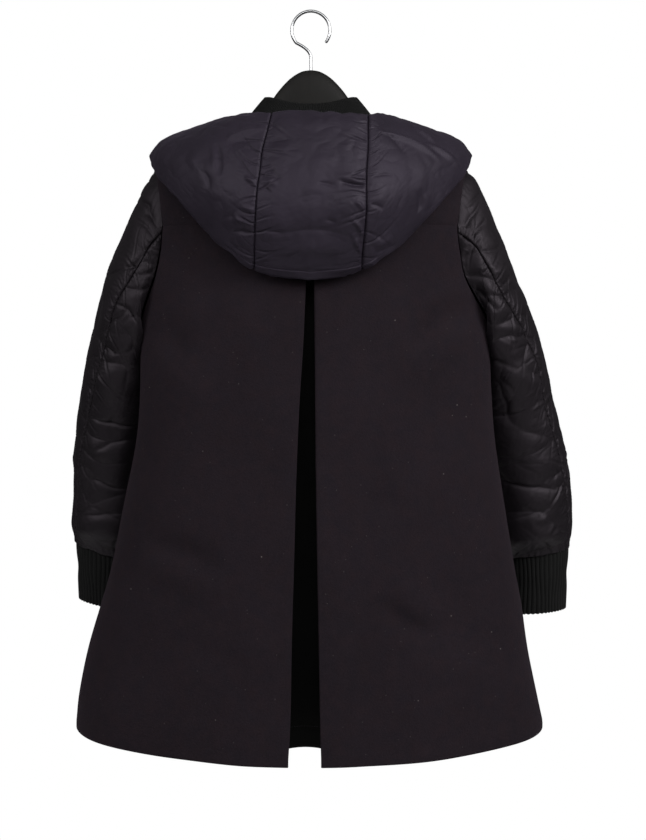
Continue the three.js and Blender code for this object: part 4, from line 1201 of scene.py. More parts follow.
def sleeve_panel(side, part, faces, body):
    """Outer and inner face of one panel of a sleeve, with its folds, gathers and wrinkles."""
    places = SLEEVE_PANELS[part]
    outer = resampled(faces[0], SLEEVE_FINE_ROWS, wide_of(places), True)
    inner = resampled(faces[1], SLEEVE_FINE_ROWS, places, True)
    normals = grid_normals(outer, 1)
    centre = faces[0].mean(1)
    outward = outer[:, 1:-1].mean((0, 1)) - centre.mean(0)
    if (normals.mean((0, 1)) @ outward) < 0:
        normals = -normals
    outer, normals = outer[:, 1:-1], normals[:, 1:-1]
    down, up, start, end = from_edges(outer)
    up, down = down, down[-1:] - down
    seams = np.minimum(start, end)
    faces_back = smoothstep(-normals[..., 1], -0.1, 0.35)
    bent = seen_from_back(outer) + 5.0 * np.stack([soft_noise(outer, 26.0, 11), soft_noise(outer, 22.0, 12)], -1)
    amount = creases(bent, SLEEVE_CREASES[side] + SLEEVE_PUFFS[side] + stray_folds(side), True) * faces_back
    loop = np.interp(places % SLEEVE_AROUND, np.arange(SLEEVE_AROUND + 1), np.append(SLEEVE_COLUMNS, LOOP_END))
    table = np.array(SLEEVE_OUTER_CREASES) * np.array([LOOP_STEP, 1, LOOP_STEP, 1, 1, 1, 1])
    for turn in (0, -LOOP_END):
        flat = np.stack([np.broadcast_to((loop + turn) * LOOP_STEP, up.shape), up], -1)
        amount += creases(flat, table, True) * (1 - faces_back)
    seed = SLEEVE_SEEDS[side] + SLEEVE_SEEDS[part]
    flattened = outer * np.array([0.55, 0.55, 1.0])
    sideways = smoothstep(np.abs(normals[..., 0]), 0.75, 0.95)
    amount += 4.2 * (1 - 0.6 * sideways) * (billows(flattened, 36.0, SLEEVE_SEEDS[side]) - 0.35)
    ends = np.minimum(smoothstep(up, 0, 12), smoothstep(down, 0, 6)) * smoothstep(seams, -3, 9)
    amount = amount * ends
    for k, gap in enumerate((start, end)):
        amount += gathers(gap, up, seed + k, *SLEEVE_GATHERS)
    amount += gathers(down, start, seed + 6, *CUFF_GATHERS)
    outer = outer + normals * amount[..., None]
    uneven = 0.75 + 0.9 * soft_noise(outer, 38.0, seed + 7)
    slack_down = 0.018 + uneven * (0.105 * np.exp(-seams / 8.0) + 0.034 * np.exp(-seams / 32.0))
    slack_across = 0.018 + uneven * (0.03 * np.exp(-up / 14.0) + 0.10 * np.exp(-down / 14.0))
    held = np.maximum(np.exp(-(seams / 0.8) ** 2), np.exp(-(np.minimum(up, down) / 1.5) ** 2))
    held[:, [0, -1]] = 1
    held[[0, -1]] = 1
    outer = settled(outer, (slack_down, slack_across), held, 0.04, seed + 8)
    drop = np.clip(0.5 + 2.2 * soft_noise(outer * np.array([1.0, 1.0, 0.0]), 13.0, 97), 0, 1.6)
    outer[..., 2] -= drop * np.exp(-(down / 5.0) ** 2)
    outer = lifted(outer, body, 0.6, 30.0, 1.0)
    seam = groove(seams, 3.6, 4.0) + 0.4 * np.exp(-(up / 2.0) ** 2) - 2.0 * np.exp(-(down / 6.0) ** 2)
    outer = swayed(outer - normals * seam[..., None], seams + 12 * np.exp(-up / 8.0), 95, 1.0)
    return outer, gapped(outer, inner, SLEEVE_LEAST_WALL)


def sleeve_pieces(side, material, padding):
    """The two panels of a sleeve, clear of the body beside them."""
    faces = sleeve_faces(side, padding)
    body = surface_tree(panel_skin(2, 1, side))
    return [padded_piece(f"down_sleeve_{side}_{part}", *sleeve_panel(side, part, faces, body), material, 0.3)
            for part in SLEEVE_PANELS]


# --- Hood ---

HOOD_POINTS = 76
HOOD_STATIONS = np.concatenate([np.linspace(-8, -1, 71)[:-1], np.linspace(-1, 1, 27)[:-1], np.linspace(1, 8, 71)])
HOOD_SEAM_COLUMNS = (70, 96)
HOOD_STATION_STEP = 50  # millimetres that a station stands for beside the seams
HOOD_CLEARANCE = 2.2

# Creases of the hood as seen from the back: start x, z, end x, z, bow, half width, height
HOOD_CREASES = [
    (34, 686, 71, 681, -2, 3.0, -4.6), (30, 692, 68, 689, -2, 4.0, 2.6), (10, 683, 31, 677, 2, 3.2, -2.6),
    (-57, 691, -40, 698, 1, 2.4, -2.2), (-54, 678, -45, 670, 1, 2.2, -2.0), (-44, 699, -34, 689, -1, 2.4, -1.8),
    (-48, 731, -25, 734, 2, 3.6, -2.2), (-58, 684, -38, 680, 2, 3.4, 2.0), (-50, 722, -20, 716, 3, 6.0, 1.2),
    (52, 662, 65, 649, 1, 2.6, 2.6), (48, 642, 66, 618, 2, 2.8, 2.8), (50, 625, 65, 601, -2, 3.0, 2.6),
    (-42, 621, 54, 618, 9, 6.5, -2.4), (-38, 604, 50, 602, 6, 8.0, 2.0), (18, 640, 30, 636, 1, 2.4, -2.0),
    (-53, 626, -30, 623, 2, 3.2, -2.0), (-20, 660, 16, 668, 4, 6.0, -1.2), (0, 708, 34, 716, -4, 7.0, 1.1),
    (-111, 734, -107, 694, 2, 3.2, -4.0), (-116, 730, -112, 700, 2, 4.0, 1.8), (-124, 700, -119, 678, 1, 2.8, -2.8),
    (-100, 739, -54, 749, 2, 3.6, 3.0), (-96, 731, -58, 735, 3, 3.8, -2.0), (-76, 690, -62, 681, 1, 2.6, 2.6),
    (-80, 656, -62, 649, 1, 2.8, 2.6), (-91, 648, -77, 638, 1, 2.6, 2.0), (-95, 627, -59, 623, 3, 3.6, -2.4),
    (-90, 612, -59, 594, 2, 4.0, -1.8), (-98, 640, -60, 634, 3, 4.5, 1.4), (-150, 716, -128, 700, 3, 6.0, 1.3),
    (122, 758, 152, 736, 2, 2.2, 3.6), (79, 747, 156, 718, 5, 2.4, 4.2), (136, 737, 184, 707, 4, 2.4, 3.8),
    (87, 748, 116, 717, 2, 3.2, -2.2), (72, 690, 98, 694, 2, 2.6, -1.8),
    (129, 678, 129, 653, 2, 3.4, -2.8), (136, 676, 138, 656, 2, 4.5, 1.6), (72, 659, 86, 653, 1, 2.6, -2.2),
    (66, 592, 88, 589, 1, 2.6, 1.8), (74, 613, 98, 624, -2, 3.8, 1.8), (76, 604, 104, 616, -2, 3.4, -1.8),
]


# Where the hood's seams stray sideways: x, z, how far, then its reach across and up
HOOD_STRAYS = [(-60, 770, 7.0, 26, 46), (-58, 700, 1.5, 26, 18), (64, 594, -5.0, 26, 40), (60, 728, 2.5, 26, 24)]


def strayed(points):
    """The hood's points, moved with its seams."""
    x, z = points[..., 0].copy(), points[..., 2]
    for x0, z0, shift, across, up in HOOD_STRAYS:
        points[..., 0] += shift * np.exp(-((x - x0) / across) ** 2 - ((z - z0) / up) ** 2)
    return points


def body_skin():
    """Outer faces of shoulders, back and sleeve heads, for the hood to lie on."""
    grids = panel_skin(4, 2, *SIDES)
    climb, share = np.linspace(0, 1, 16)[:, None], np.linspace(0, 1, 30)[None]
    grids += [(shoulder_point(side, "back", share, climb), SIDES[side]) for side in SIDES]
    grids += [(sleeve_outer(side, np.linspace(0, LOOP_END, 61))[:50:3], SIDES[side]) for side in SIDES]
    return surface_tree(grids)


def hood_faces(padding):
    """Outer and inner face of the whole hood, filled, with the seams drawn in."""
    skin = body_skin()
    middle = np.array([hood_section(np.sign(s) or 1.0, abs(s), HOOD_POINTS) for s in HOOD_STATIONS])
    middle = middle.transpose(1, 0, 2)
    inside = smoothstep(np.linspace(0, 1, HOOD_POINTS), 0.35, 0.7)[:, None]
    full = padding.hood_wall / MM * (1 - 0.45 * smoothstep(np.abs(HOOD_STATIONS), 2, 4))
    middle = lifted(middle, skin, HOOD_CLEARANCE + full * mix(1.6, 0.5, inside))
    normals = grid_normals(middle, 1)
    if (normals[HOOD_POINTS // 3, len(HOOD_STATIONS) // 2] @ np.array([0, -1, 0])) < 0:
        normals = -normals
    left_seam, right_seam = HOOD_STATIONS[list(HOOD_SEAM_COLUMNS)]
    from_seam = np.minimum(np.abs(HOOD_STATIONS - left_seam), np.abs(HOOD_STATIONS - right_seam)) * HOOD_STATION_STEP
    low, high, left, right = from_edges(middle)
    thin = np.exp(-(from_seam / 12) ** 2)[None]
    edge = 1 - (1 - np.exp(-(high / 12) ** 2)) * (1 - np.exp(-(np.minimum(left, right) / 9) ** 2))
    half = full / 2 * (1 - 0.45 * thin) * (1 - 0.6 * edge) * (1 - 0.35 * np.exp(-(low / 7) ** 2))
    outer, inner = middle + normals * half[..., None], middle - normals * half[..., None]
    held = np.zeros(middle.shape[:2])
    held[-3:] = 1
    held[:2] = 0.6
    held[:, list(HOOD_SEAM_COLUMNS)] = 1
    held[:, [0, -1]] = 1
    outer, inner = inflated(outer, inner, False, held, padding, 18, 8.0)
    return strayed(outer), strayed(lifted(inner, skin, 1.0))


# The unevenness of the hood's rim at centre back: x, and how far it stands up
HOOD_TOP = np.array([
    [-84, 0], [-68, 1.0], [-50, 3.0], [-36, 4.4], [-24, 5.0], [-8, 4.6], [1, 5.0], [9, 3.4], [15, 1.8], [20, 3.2],
    [24, 4.0], [31, 2.6], [37, 0.8], [43, 1.8], [48, 2.4], [56, 1.2], [66, 1.8], [78, 1.4], [92, 0],
], float)
HOOD_FINE_ROWS = stretches(0, (40, 200), (HOOD_POINTS - 1, 60))
HOOD_LAST_COLUMN = len(HOOD_STATIONS) - 1
HOOD_PANELS = {
    "left": stretches(0, (62, 112), (HOOD_SEAM_COLUMNS[0], 32)),
    "centre": stretches(HOOD_SEAM_COLUMNS[0], (74, 16), (92, 36), (HOOD_SEAM_COLUMNS[1], 16)),
    "right": stretches(HOOD_SEAM_COLUMNS[1], (104, 32), (HOOD_LAST_COLUMN, 112)),
}
HOOD_SEEDS = {"left": 60, "centre": 70, "right": 80}
HOOD_GATHERS = (14.0, 24.0, 2.1)  # spacing, reach and depth
HOOD_LEAST_WALL = 1.6


def hood_panel(part, faces):
    """Outer and inner face of one panel of the hood, with its folds, gathers and wrinkles."""
    places = HOOD_PANELS[part]
    outer = resampled(faces[0], HOOD_FINE_ROWS, wide_of(places, HOOD_LAST_COLUMN))
    inner = resampled(faces[1], HOOD_FINE_ROWS, places)
    if part == "left":
        outer[:, 0] = 2 * outer[:, 1] - outer[:, 2]
    if part == "right":
        outer[:, -1] = 2 * outer[:, -2] - outer[:, -3]
    normals = grid_normals(outer, 1)
    if (normals[60].mean(0) @ np.array([0, -1, 0])) < 0:
        normals = -normals
    outer, normals = outer[:, 1:-1], normals[:, 1:-1]
    low, high, start, end = from_edges(outer)
    seams = {"left": end, "right": start, "centre": np.minimum(start, end)}[part]
    facing = smoothstep(-normals[..., 1], 0.0, 0.4)
    amount = creases(seen_from_back(outer), HOOD_CREASES, True) * facing
    amount += 1.1 * (billows(outer, 24.0, 5) - 0.35) + 0.35 * (billows(outer, 10.0, 6) - 0.35)
    amount *= smoothstep(seams, -2, 8)
    for k, (gap, near) in enumerate(((start, part != "left"), (end, part != "right"))):
        if near:
            amount += gathers(gap, low, HOOD_SEEDS[part] + k, *HOOD_GATHERS)
    outer = outer + normals * amount[..., None]
    uneven = 0.75 + 0.9 * soft_noise(outer, 30.0, 77)
    slack_down = 0.006 + uneven * (0.115 * np.exp(-seams / 7.0) + 0.026 * np.exp(-seams / 30.0))
    slack_across = 0.006 + uneven * 0.008 * np.exp(-seams / 60.0) + uneven * 0.05 * np.exp(-high / 10.0)
    held = np.maximum(np.exp(-(seams / 0.8) ** 2), 0.9 * np.exp(-(low / 2.0) ** 2))
    held[:, [0, -1]] = 1
    held[-1] = 1
    outer = settled(outer, (slack_down, slack_across), held, 0.05, 400)
    lift = np.interp(outer[..., 0], HOOD_TOP[:, 0], HOOD_TOP[:, 1]) * np.exp(-low / 16.0)
    outer[..., 2] += lift
    inner[..., 2] += lift
    outer = swayed(outer - normals * groove(seams, 3.2, 3.6)[..., None], seams, 90, 1.1)
    return outer, gapped(outer, inner, HOOD_LEAST_WALL)


def hood_pieces(material, padding):
    """The three panels of the hood."""
    faces = hood_faces(padding)
    return [padded_piece("down_hood_" + part, *hood_panel(part, faces), material, 0.6) for part in HOOD_PANELS]


# --- Hanger ---

# distance from the middle, then top, height and thickness of the body there
HANGER = np.array([
    [0, 839, 88, 22], [12, 836.8, 88, 22], [26, 828.4, 82, 21], [40, 814, 72, 20], [50, 800, 62, 20],
    [62, 779, 46, 20], [74, 754, 28, 21], [95, 741, 24, 24], [130, 728, 27, 33], [160, 715, 31, 40],
    [174, 708, 30, 38], [180, 702, 22, 28],
], float)
HANGER_SWEEP = 0.06
HANGER_SQUARENESS = 0.8
BORE_RADIUS = 2.2
WIRE_RADIUS = 1.9
HOOK_RADIUS = 23.9
HOOK_STEM_FOOT = 822.0
HOOK_BEND = 10.0
HOOK_START, HOOK_END = 220.0, -35.0


def tube(path, widths, sides):
    """Closed tube along a path."""
    ahead = unit(np.gradient(path, axis=0))
    across = unit(np.cross(ahead, [0.0, 1.0, 0.0]))
    up = np.cross(across, ahead)
    turn = np.linspace(0, 2 * math.pi, sides + 1)[:-1, None]
    round_it = np.cos(turn) * across[:, None] + np.sin(turn) * up[:, None]
    return capped(path[:, None] + widths[:, None, None] * round_it)


def capped(rings):
    """Points and faces of a loft closed at both ends by a point in the middle of its last rings."""
    rows, sides = rings.shape[:2]
    size = rows * sides
    points = np.concatenate([rings.reshape(-1, 3), rings[[0, -1]].mean(1)])
    index = np.arange(size).reshape(rows, sides)
    quads = quads_of(index, True)
    first, last = index[0], index[-1]
    triangles = np.concatenate([np.stack([np.roll(first, -1), first, np.full(sides, size)], -1),
                                np.stack([last, np.roll(last, -1), np.full(sides, size + 1)], -1)])
    if volume_of(points, quads, triangles) < 0:
        quads, triangles = quads[:, ::-1], triangles[:, ::-1]
    return points, [quads, triangles]


def hanger_body(material):
    """The moulded body, with the hole for the hook's stem."""
    ends = 180 + 9 * np.sin(np.linspace(0, math.pi / 2, 9)[1:])
    half = np.concatenate([np.linspace(0, 3, 7)[1:], np.linspace(3, 180, 90)[1:], ends])
    distance = np.concatenate([-half[::-1], [0.0], half])
    far = np.minimum(np.abs(distance), 180)
    top, height, thickness = (column(HANGER, k, far)[:, None] for k in (1, 2, 3))
    shrink = np.sqrt(np.clip(1 - (np.clip(np.abs(distance) - 180, 0, None) / 9.3) ** 2, 0, 1))[:, None]
    turn = np.linspace(0, 2 * math.pi, 65)[None, :-1]
    square = lambda wave: np.sign(wave) * np.abs(wave) ** HANGER_SQUARENESS
    middle = np.sqrt(far ** 2 + 4.0) - 2.0
    y = HANGER_SWEEP * middle[:, None] + thickness / 2 * shrink * square(np.sin(turn))
    z = top - height / 2 + height / 2 * shrink * square(np.cos(turn))
    points, faces = capped(np.stack([np.broadcast_to(distance[:, None], y.shape), y, z], -1))
    name = "moulded_hanger_body"
    body = put(name, make_mesh(name, points, faces), material)
    bm = bmesh.new()
    bmesh.ops.create_cone(bm, cap_ends=True, segments=40, radius1=BORE_RADIUS * MM, radius2=BORE_RADIUS * MM,
                          depth=0.03)
    bmesh.ops.translate(bm, verts=bm.verts, vec=(0, 0, (HOOK_STEM_FOOT - 0.3 + 15 - RAIL_HEIGHT) * MM))
    drill = bpy.data.objects.new("drill", bpy.data.meshes.new("drill"))
    bm.to_mesh(drill.data)
    bm.free()
    bpy.context.scene.collection.objects.link(drill)
    bore = body.modifiers.new("bore", "BOOLEAN")
    bore.operation, bore.solver, bore.object = "DIFFERENCE", "EXACT", drill
    made_plain(body, bore)
    bpy.data.objects.remove(drill)
    return body


def hanger_hook(material):
    """Wire bent from a straight stem through a soft bend into the round of the hook."""
    centre = np.array([0, 0, RAIL_HEIGHT + WIRE_RADIUS - HOOK_RADIUS])
    turn = np.radians(np.linspace(HOOK_START, HOOK_END, 150))
    circle = centre + HOOK_RADIUS * np.stack([np.cos(turn), 0 * turn, np.sin(turn)], -1)
    neck = centre - np.array([0, 0, HOOK_RADIUS + HOOK_BEND])
    t = np.linspace(0, 1, 24)[:, None]
    bend = (1 - t) ** 2 * neck + 2 * (1 - t) * t * (neck + np.array([0, 0, HOOK_BEND])) + t ** 2 * circle[0]
    foot = np.array([0, 0, HOOK_STEM_FOOT])
    stem = foot + (neck - foot) * np.linspace(0, 1, 12)[:, None]
    path = np.concatenate([stem[:-1], bend[:-1], circle])
    tip = np.sin(np.linspace(0, math.pi / 2, 7)[1:-1]) * WIRE_RADIUS
    ahead = unit(path[-1] - path[-2])
    path = np.concatenate([path, path[-1] + tip[:, None] * ahead])
    widths = np.full(len(path), WIRE_RADIUS)
    widths[-len(tip):] = np.sqrt(WIRE_RADIUS ** 2 - tip ** 2)
    points, faces = tube(path, widths, 24)
    return put("steel_hanger_hook", make_mesh("hook", points, faces), material)


# --- Stitches ---


def stitch_tree(material):
    """Short stitches laid end to end along each line of edges."""
    tree, start = new_tree("Stitches", Pitch=0.003, Stitch=0.0024, Thread=0.0004)
    nodes, links = tree.nodes, tree.links
    line = nodes.new("GeometryNodeMeshToCurve")
    places = nodes.new("GeometryNodeCurveToPoints")
    places.mode = "LENGTH"
    ball = nodes.new("GeometryNodeMeshUVSphere")
    for name, value in (("Segments", 6), ("Rings", 5), ("Radius", 1.0)):
        ball.inputs[name].default_value = value
    size = nodes.new("ShaderNodeCombineXYZ")
    halves = []
    for name in ("Thread", "Stitch"):
        half = nodes.new("ShaderNodeMath")
        half.operation = "MULTIPLY"
        half.inputs[1].default_value = 0.5
        links.new(start.outputs[name], half.inputs[0])
        halves.append(half.outputs[0])
    place = nodes.new("GeometryNodeInstanceOnPoints")
    for value, socket in ((start.outputs["Geometry"], line.inputs[0]),
                          (line.outputs[0], places.inputs["Curve"]),
                          (start.outputs["Pitch"], places.inputs["Length"]),
                          (places.outputs["Points"], place.inputs["Points"]),
                          (ball.outputs["Mesh"], place.inputs["Instance"]),
                          (places.outputs["Rotation"], place.inputs["Rotation"]),
                          (halves[0], size.inputs[0]), (halves[0], size.inputs[1]), (halves[1], size.inputs[2]),
                          (size.outputs[0], place.inputs["Scale"])):
        links.new(value, socket)
    return close_tree(tree, place.outputs["Instances"], material)


def thread_line(name, points, material, settings):
    """A row of stitches through points in millimetres."""
    mesh = bpy.data.meshes.new(name)
    mesh.from_pydata(metres(points), [(k, k + 1) for k in range(len(points) - 1)], [])
    return grown(put(name, mesh, material), stitch_tree(material),
                 Pitch=settings.pitch, Stitch=settings.length, Thread=settings.thread)


def underlay_hem_line():
    """Where the underlay's hem is sewn, just clear of its face."""
    grid = underlay_grid()
    heights = grid[:, grid.shape[1] // 2, 2]
    row = int(np.argmin(np.abs(heights - UNDERLAY_HEM - UNDERLAY_TURN)))
    return grid[row, 2:-2] - grid_normals(grid, -1)[row, 2:-2] * 0.1


# --- Materials ---


class Paint:
    """A material's nodes, added and linked in short calls."""

    def __init__(self, name):
        self.material = bpy.data.materials.new(name)
        self.material.use_nodes = True
        self.tree = self.material.node_tree
        self.tree.nodes.clear()
        self.coordinates = self.tree.nodes.new("ShaderNodeTexCoord")
        self.place = self.coordinates.outputs["Object"]
        self.shader = self.tree.nodes.new("ShaderNodeBsdfPrincipled")
        output = self.tree.nodes.new("ShaderNodeOutputMaterial")
        self.tree.links.new(self.shader.outputs[0], output.inputs["Surface"])

    def node(self, kind, settings=None, **inputs):
        made = self.tree.nodes.new("ShaderNode" + kind)
        for key, value in (settings or {}).items():
            setattr(made, key, value)
        for key, value in inputs.items():
            self.link(value, made.inputs[key.replace("_", " ")])
        return made

    def link(self, value, socket):
        if isinstance(value, bpy.types.NodeSocket):
            self.tree.links.new(value, socket)
        else:
            socket.default_value = value

    def set(self, **inputs):
        for key, value in inputs.items():
            self.link(value, self.shader.inputs[key.replace("_", " ")])

    def noise(self, scale, detail=2.0, roughness=0.5, at=None, distortion=0.0):
        return self.node("TexNoise", Vector=at or self.place, Scale=scale, Detail=detail, Roughness=roughness,
                         Distortion=distortion).outputs["Fac"]

    def maths(self, operation, a, b=0.0):
        made = self.node("Math", {"operation": operation})
        self.link(a, made.inputs[0])
        self.link(b, made.inputs[1])
        return made.outputs[0]

    def total(self, *parts):
        """The sum of values, each times its share."""
        scaled = [self.maths("MULTIPLY", value, share) for value, share in parts]
        result = scaled[0]
        for part in scaled[1:]:
            result = self.maths("ADD", result, part)
        return result

    def ramp(self, value, low, high, to_low=0.0, to_high=1.0):
        return self.node("MapRange", Value=value, From_Min=low, From_Max=high, To_Min=to_low,
                         To_Max=to_high).outputs[0]

    def blend(self, share, a, b):
        made = self.node("Mix", {"data_type": "RGBA"})
        for value, socket in zip((share, a, b), (0, 6, 7)):
            self.link(value, made.inputs[socket])
        return made.outputs[2]

    def stretched(self, x, y, z):
        return self.node("Mapping", Vector=self.place, Scale=(x, y, z)).outputs[0]

    def pattern(self):
        flat = self.node("UVMap", {"uv_map": "cloth"}).outputs[0]
        return self.node("Mapping", Vector=flat).outputs[0]

    def relief(self, *layers):
        """Bumps on one another, the coarsest first, each a height, a strength and a depth in metres."""
        under = {}
        for height, strength, distance in layers:
            made = self.node("Bump", Height=height, Strength=strength, Distance=distance, **under)
            under = {"Normal": made.outputs[0]}
        self.set(**under)


def shade(colour, factor):
    """The colour as light, made brighter or darker."""
    linear = (c / 12.92 if c <= 0.04045 else ((c + 0.055) / 1.055) ** 2.4 for c in colour[:3])
    return tuple(c * factor for c in linear) + (1.0,)


def napped_wool(name, colour, lint):
    """Brushed wool coating: short fibres, mottling in two tints, and light specks of lint."""
    paint = Paint(name)
    cloud, patch, felt = paint.noise(9.0, 3.0), paint.noise(75.0, 3.0, 0.6), paint.noise(420.0, 4.0, 0.65)
    fibre = paint.noise(1.0, 3.0, 0.7, at=paint.stretched(2200, 2200, 900))
    tint = paint.ramp(paint.total((paint.noise(46.0, 3.0, 0.6), 0.5), (patch, 0.5)), 0.38, 0.62)
    cool, warm = (tuple(c * k for c, k in zip(colour, tints)) for tints in ((0.965, 1.0, 1.03), (1.03, 0.995, 0.985)))
    tone = paint.ramp(paint.total((cloud, 0.28), (felt, 0.50), (patch, 0.22)), 0.32, 0.68)
    dark, light = (paint.blend(tint, shade(cool, factor), shade(warm, factor)) for factor in (0.70, 1.34))
    base = paint.blend(paint.ramp(fibre, 0.60, 0.74), paint.blend(tone, dark, light), shade(colour, 2.3))
    for scale, size, rare, bright in ((62.0, 0.055, 0.56, 0.30), (105.0, 0.075, 0.50, 0.11)):
        speck = paint.node("TexVoronoi", Vector=paint.place, Scale=scale, Randomness=1.0).outputs["Distance"]
        chance = paint.ramp(paint.noise(0.4 * scale, 1.0), rare, rare + 0.05)
        show = paint.maths("MULTIPLY", paint.maths("MULTIPLY", paint.ramp(speck, size, 0.6 * size), chance), lint)
        base = paint.blend(show, base, (bright, 0.9 * bright, 0.86 * bright, 1.0))
    paint.set(Base_Color=base, Roughness=0.95, Specular_IOR_Level=0.12, Sheen_Weight=0.24, Sheen_Roughness=0.55,
              Sheen_Tint=shade(colour, 9.0))
    paint.relief((felt, 0.6, 0.0008), (fibre, 0.4, 0.0003))
    return paint.material


def soft_nylon(name, colour, gloss, roughness, crumple):
    """Fine plain-weave nylon over down: a satin face with small crumples."""
    paint = Paint(name)
    cloud = paint.noise(14.0, 2.0)
    base = paint.blend(paint.ramp(cloud, 0.3, 0.7), shade(colour, 0.86), shade(colour, 1.16))
    wrinkle = paint.node("TexNoise", {"noise_type": "RIDGED_MULTIFRACTAL"}, Vector=paint.stretched(1, 1, 1.5),
                         Scale=34.0, Detail=3.0, Roughness=0.45, Distortion=0.6).outputs["Fac"]
    puff = paint.noise(60.0, 2.0, 0.4, distortion=0.8)
    warp, weft = (paint.node("TexWave", {"wave_type": "BANDS", "bands_direction": axis}, Vector=paint.pattern(),
                             Scale=480.0).outputs["Fac"] for axis in "XY")
    sheen = paint.ramp(cloud, 0.3, 0.7, roughness - 0.05, roughness + 0.07)
    tint = tuple(0.2 + 0.8 * c / max(colour) for c in colour) + (1.0,)
    paint.set(Base_Color=base, Roughness=sheen, Specular_IOR_Level=gloss, Specular_Tint=tint,
              Sheen_Weight=0.06, Sheen_Roughness=0.35, Sheen_Tint=shade(colour, 20.0))
    weave = paint.maths("MULTIPLY", warp, weft)
    paint.relief((wrinkle, crumple, 0.0016), (puff, crumple, 0.0012), (weave, 0.10, 0.00012))
    return paint.material


def rib_knit(name, colour):
    """Rib knit: a column of V stitches on each rib, darker between the ribs and stitches with painted shade."""
    paint = Paint(name)
    flat = paint.node("SeparateXYZ", Vector=paint.pattern())
    skew = paint.maths("ABSOLUTE", paint.maths("SINE", paint.maths("MULTIPLY", flat.outputs[0], 981.0)))
    stitch = paint.maths("SINE", paint.total((flat.outputs[1], 2600.0), (skew, 2.6)))
    fuzz = paint.noise(900.0, 3.0, 0.7)
    # Painted shade: the stitch term darkens the gaps between the V stitches and the ribs; the fuzz is the yarn's own
    # uneven tone.
    tone = paint.ramp(paint.maths("ADD", paint.maths("MULTIPLY", stitch, 0.25), fuzz), 0.2, 0.9)
    paint.set(Base_Color=paint.blend(tone, shade(colour, 0.62), shade(colour, 1.5)), Roughness=0.9,
              Specular_IOR_Level=0.2, Sheen_Weight=0.22, Sheen_Roughness=0.5, Sheen_Tint=shade(colour, 9.0))
    paint.relief((stitch, 0.35, 0.0004), (fuzz, 0.3, 0.0003))
    return paint.material


def moulded_plastic(name, colour):
    """Satin moulded plastic with a fine grain and a few handling marks."""
    paint = Paint(name)
    grain = paint.noise(1500.0, 2.0)
    wear = paint.noise(38.0, 4.0, 0.6)
    paint.set(Base_Color=paint.blend(paint.ramp(wear, 0.35, 0.7), shade(colour, 0.9), shade(colour, 1.2)),
              Roughness=paint.ramp(wear, 0.3, 0.75, 0.46, 0.60), Specular_IOR_Level=0.10)
    paint.relief((grain, 0.25, 0.0002))
    return paint.material


def polished_steel(name, colour):
    """Drawn steel wire, polished, with fine marks along it."""
    paint = Paint(name)
    marks = paint.noise(1.0, 3.0, 0.6, at=paint.stretched(900, 900, 60))
    paint.set(Base_Color=shade(colour, 1.0), Metallic=1.0, Roughness=paint.ramp(marks, 0.2, 0.8, 0.14, 0.30))
    paint.relief((marks, 0.08, 0.0002))
    return paint.material


def dull_twill(name, colour):
    """Plain dull twill with a soft nap."""
    paint = Paint(name)
    cloud = paint.noise(11.0, 3.0)
    flat = paint.node("SeparateXYZ", Vector=paint.pattern())
    slope = paint.maths("ADD", flat.outputs[0], flat.outputs[1])
    twill = paint.maths("SINE", paint.maths("MULTIPLY", slope, 5200.0))
    nap = paint.noise(700.0, 3.0, 0.6)
    tone = paint.ramp(paint.maths("ADD", paint.maths("MULTIPLY", twill, 0.12), cloud), 0.2, 0.8)
    paint.set(Base_Color=paint.blend(tone, shade(colour, 0.7), shade(colour, 1.3)), Roughness=0.85,
              Specular_IOR_Level=0.06, Sheen_Weight=0.04, Sheen_Roughness=0.5, Sheen_Tint=shade(colour, 9.0))
    paint.relief((twill, 0.25, 0.0002), (nap, 0.3, 0.0003))
    return paint.material


def sewing_thread(name, colour):
    """Twisted sewing thread."""
    paint = Paint(name)
    twist = paint.noise(2600.0, 2.0)
    paint.set(Base_Color=paint.blend(twist, shade(colour, 0.7), shade(colour, 1.6)), Roughness=0.7,
              Specular_IOR_Level=0.35)
    paint.relief((twist, 0.3, 0.0002))
    return paint.material


def studio_floor(name, colour):
    """Matt pale floor."""
    paint = Paint(name)
    cloud = paint.noise(2.5, 3.0)
    paint.set(Base_Color=paint.blend(cloud, shade(colour, 0.985), shade(colour, 1.0)), Roughness=0.85,
              Specular_IOR_Level=0.2)
    return paint.material


# --- Settings ---


def share_property(name, description, default, high=1.0):
    return FloatProperty(name=name, description=description, default=default, min=0, max=high, subtype="FACTOR")


def power_property(name, description, watts):
    return FloatProperty(name=name, description=description, default=watts, min=0, max=1000, unit="POWER")


def colour_property(name, description, rgb):
    return FloatVectorProperty(name=name, description=description, default=tuple(c / 255 for c in rgb),
                               subtype="COLOR_GAMMA", size=3, min=0, max=1)


def length_property(name, description, millimetres):
    return FloatProperty(name=name, description=description, default=millimetres * MM, min=0.05 * MM, max=50.0 * MM,
                         subtype="DISTANCE", unit="LENGTH", precision=5)


class CoatWool(bpy.types.PropertyGroup):
    """The wool panels"""
    colour: colour_property("Colour", "Colour of the wool coating", (31, 25, 29.5))
    thickness: length_property("Thickness", "Thickness of a wool panel with its lining", 2.2)
    lint: share_property("Lint", "How plainly stray light fibres show", 0.5)


class CoatUnderlay(bpy.types.PropertyGroup):
    """The cloth behind the pleat"""
    colour: colour_property("Colour", "Colour of the cloth behind the pleat", (24, 24, 24))
    thickness: length_property("Thickness", "Thickness of the cloth behind the pleat", 1.4)


class CoatRib(bpy.types.PropertyGroup):
    """The knitted trims"""
    colour: colour_property("Colour", "Colour of the knitted collar and cuffs", (18, 18, 18))
    thickness: length_property("Thickness", "Thickness of the knit with its ribs", 3.2)
    pitch: length_property("Collar rib", "Distance from rib to rib on the collar", 3.2)
    cuff_pitch: length_property("Cuff rib", "Distance from rib to rib on a cuff", 5.6)
    depth: length_property("Rib depth", "Height of a rib above the groove beside it", 1.3)


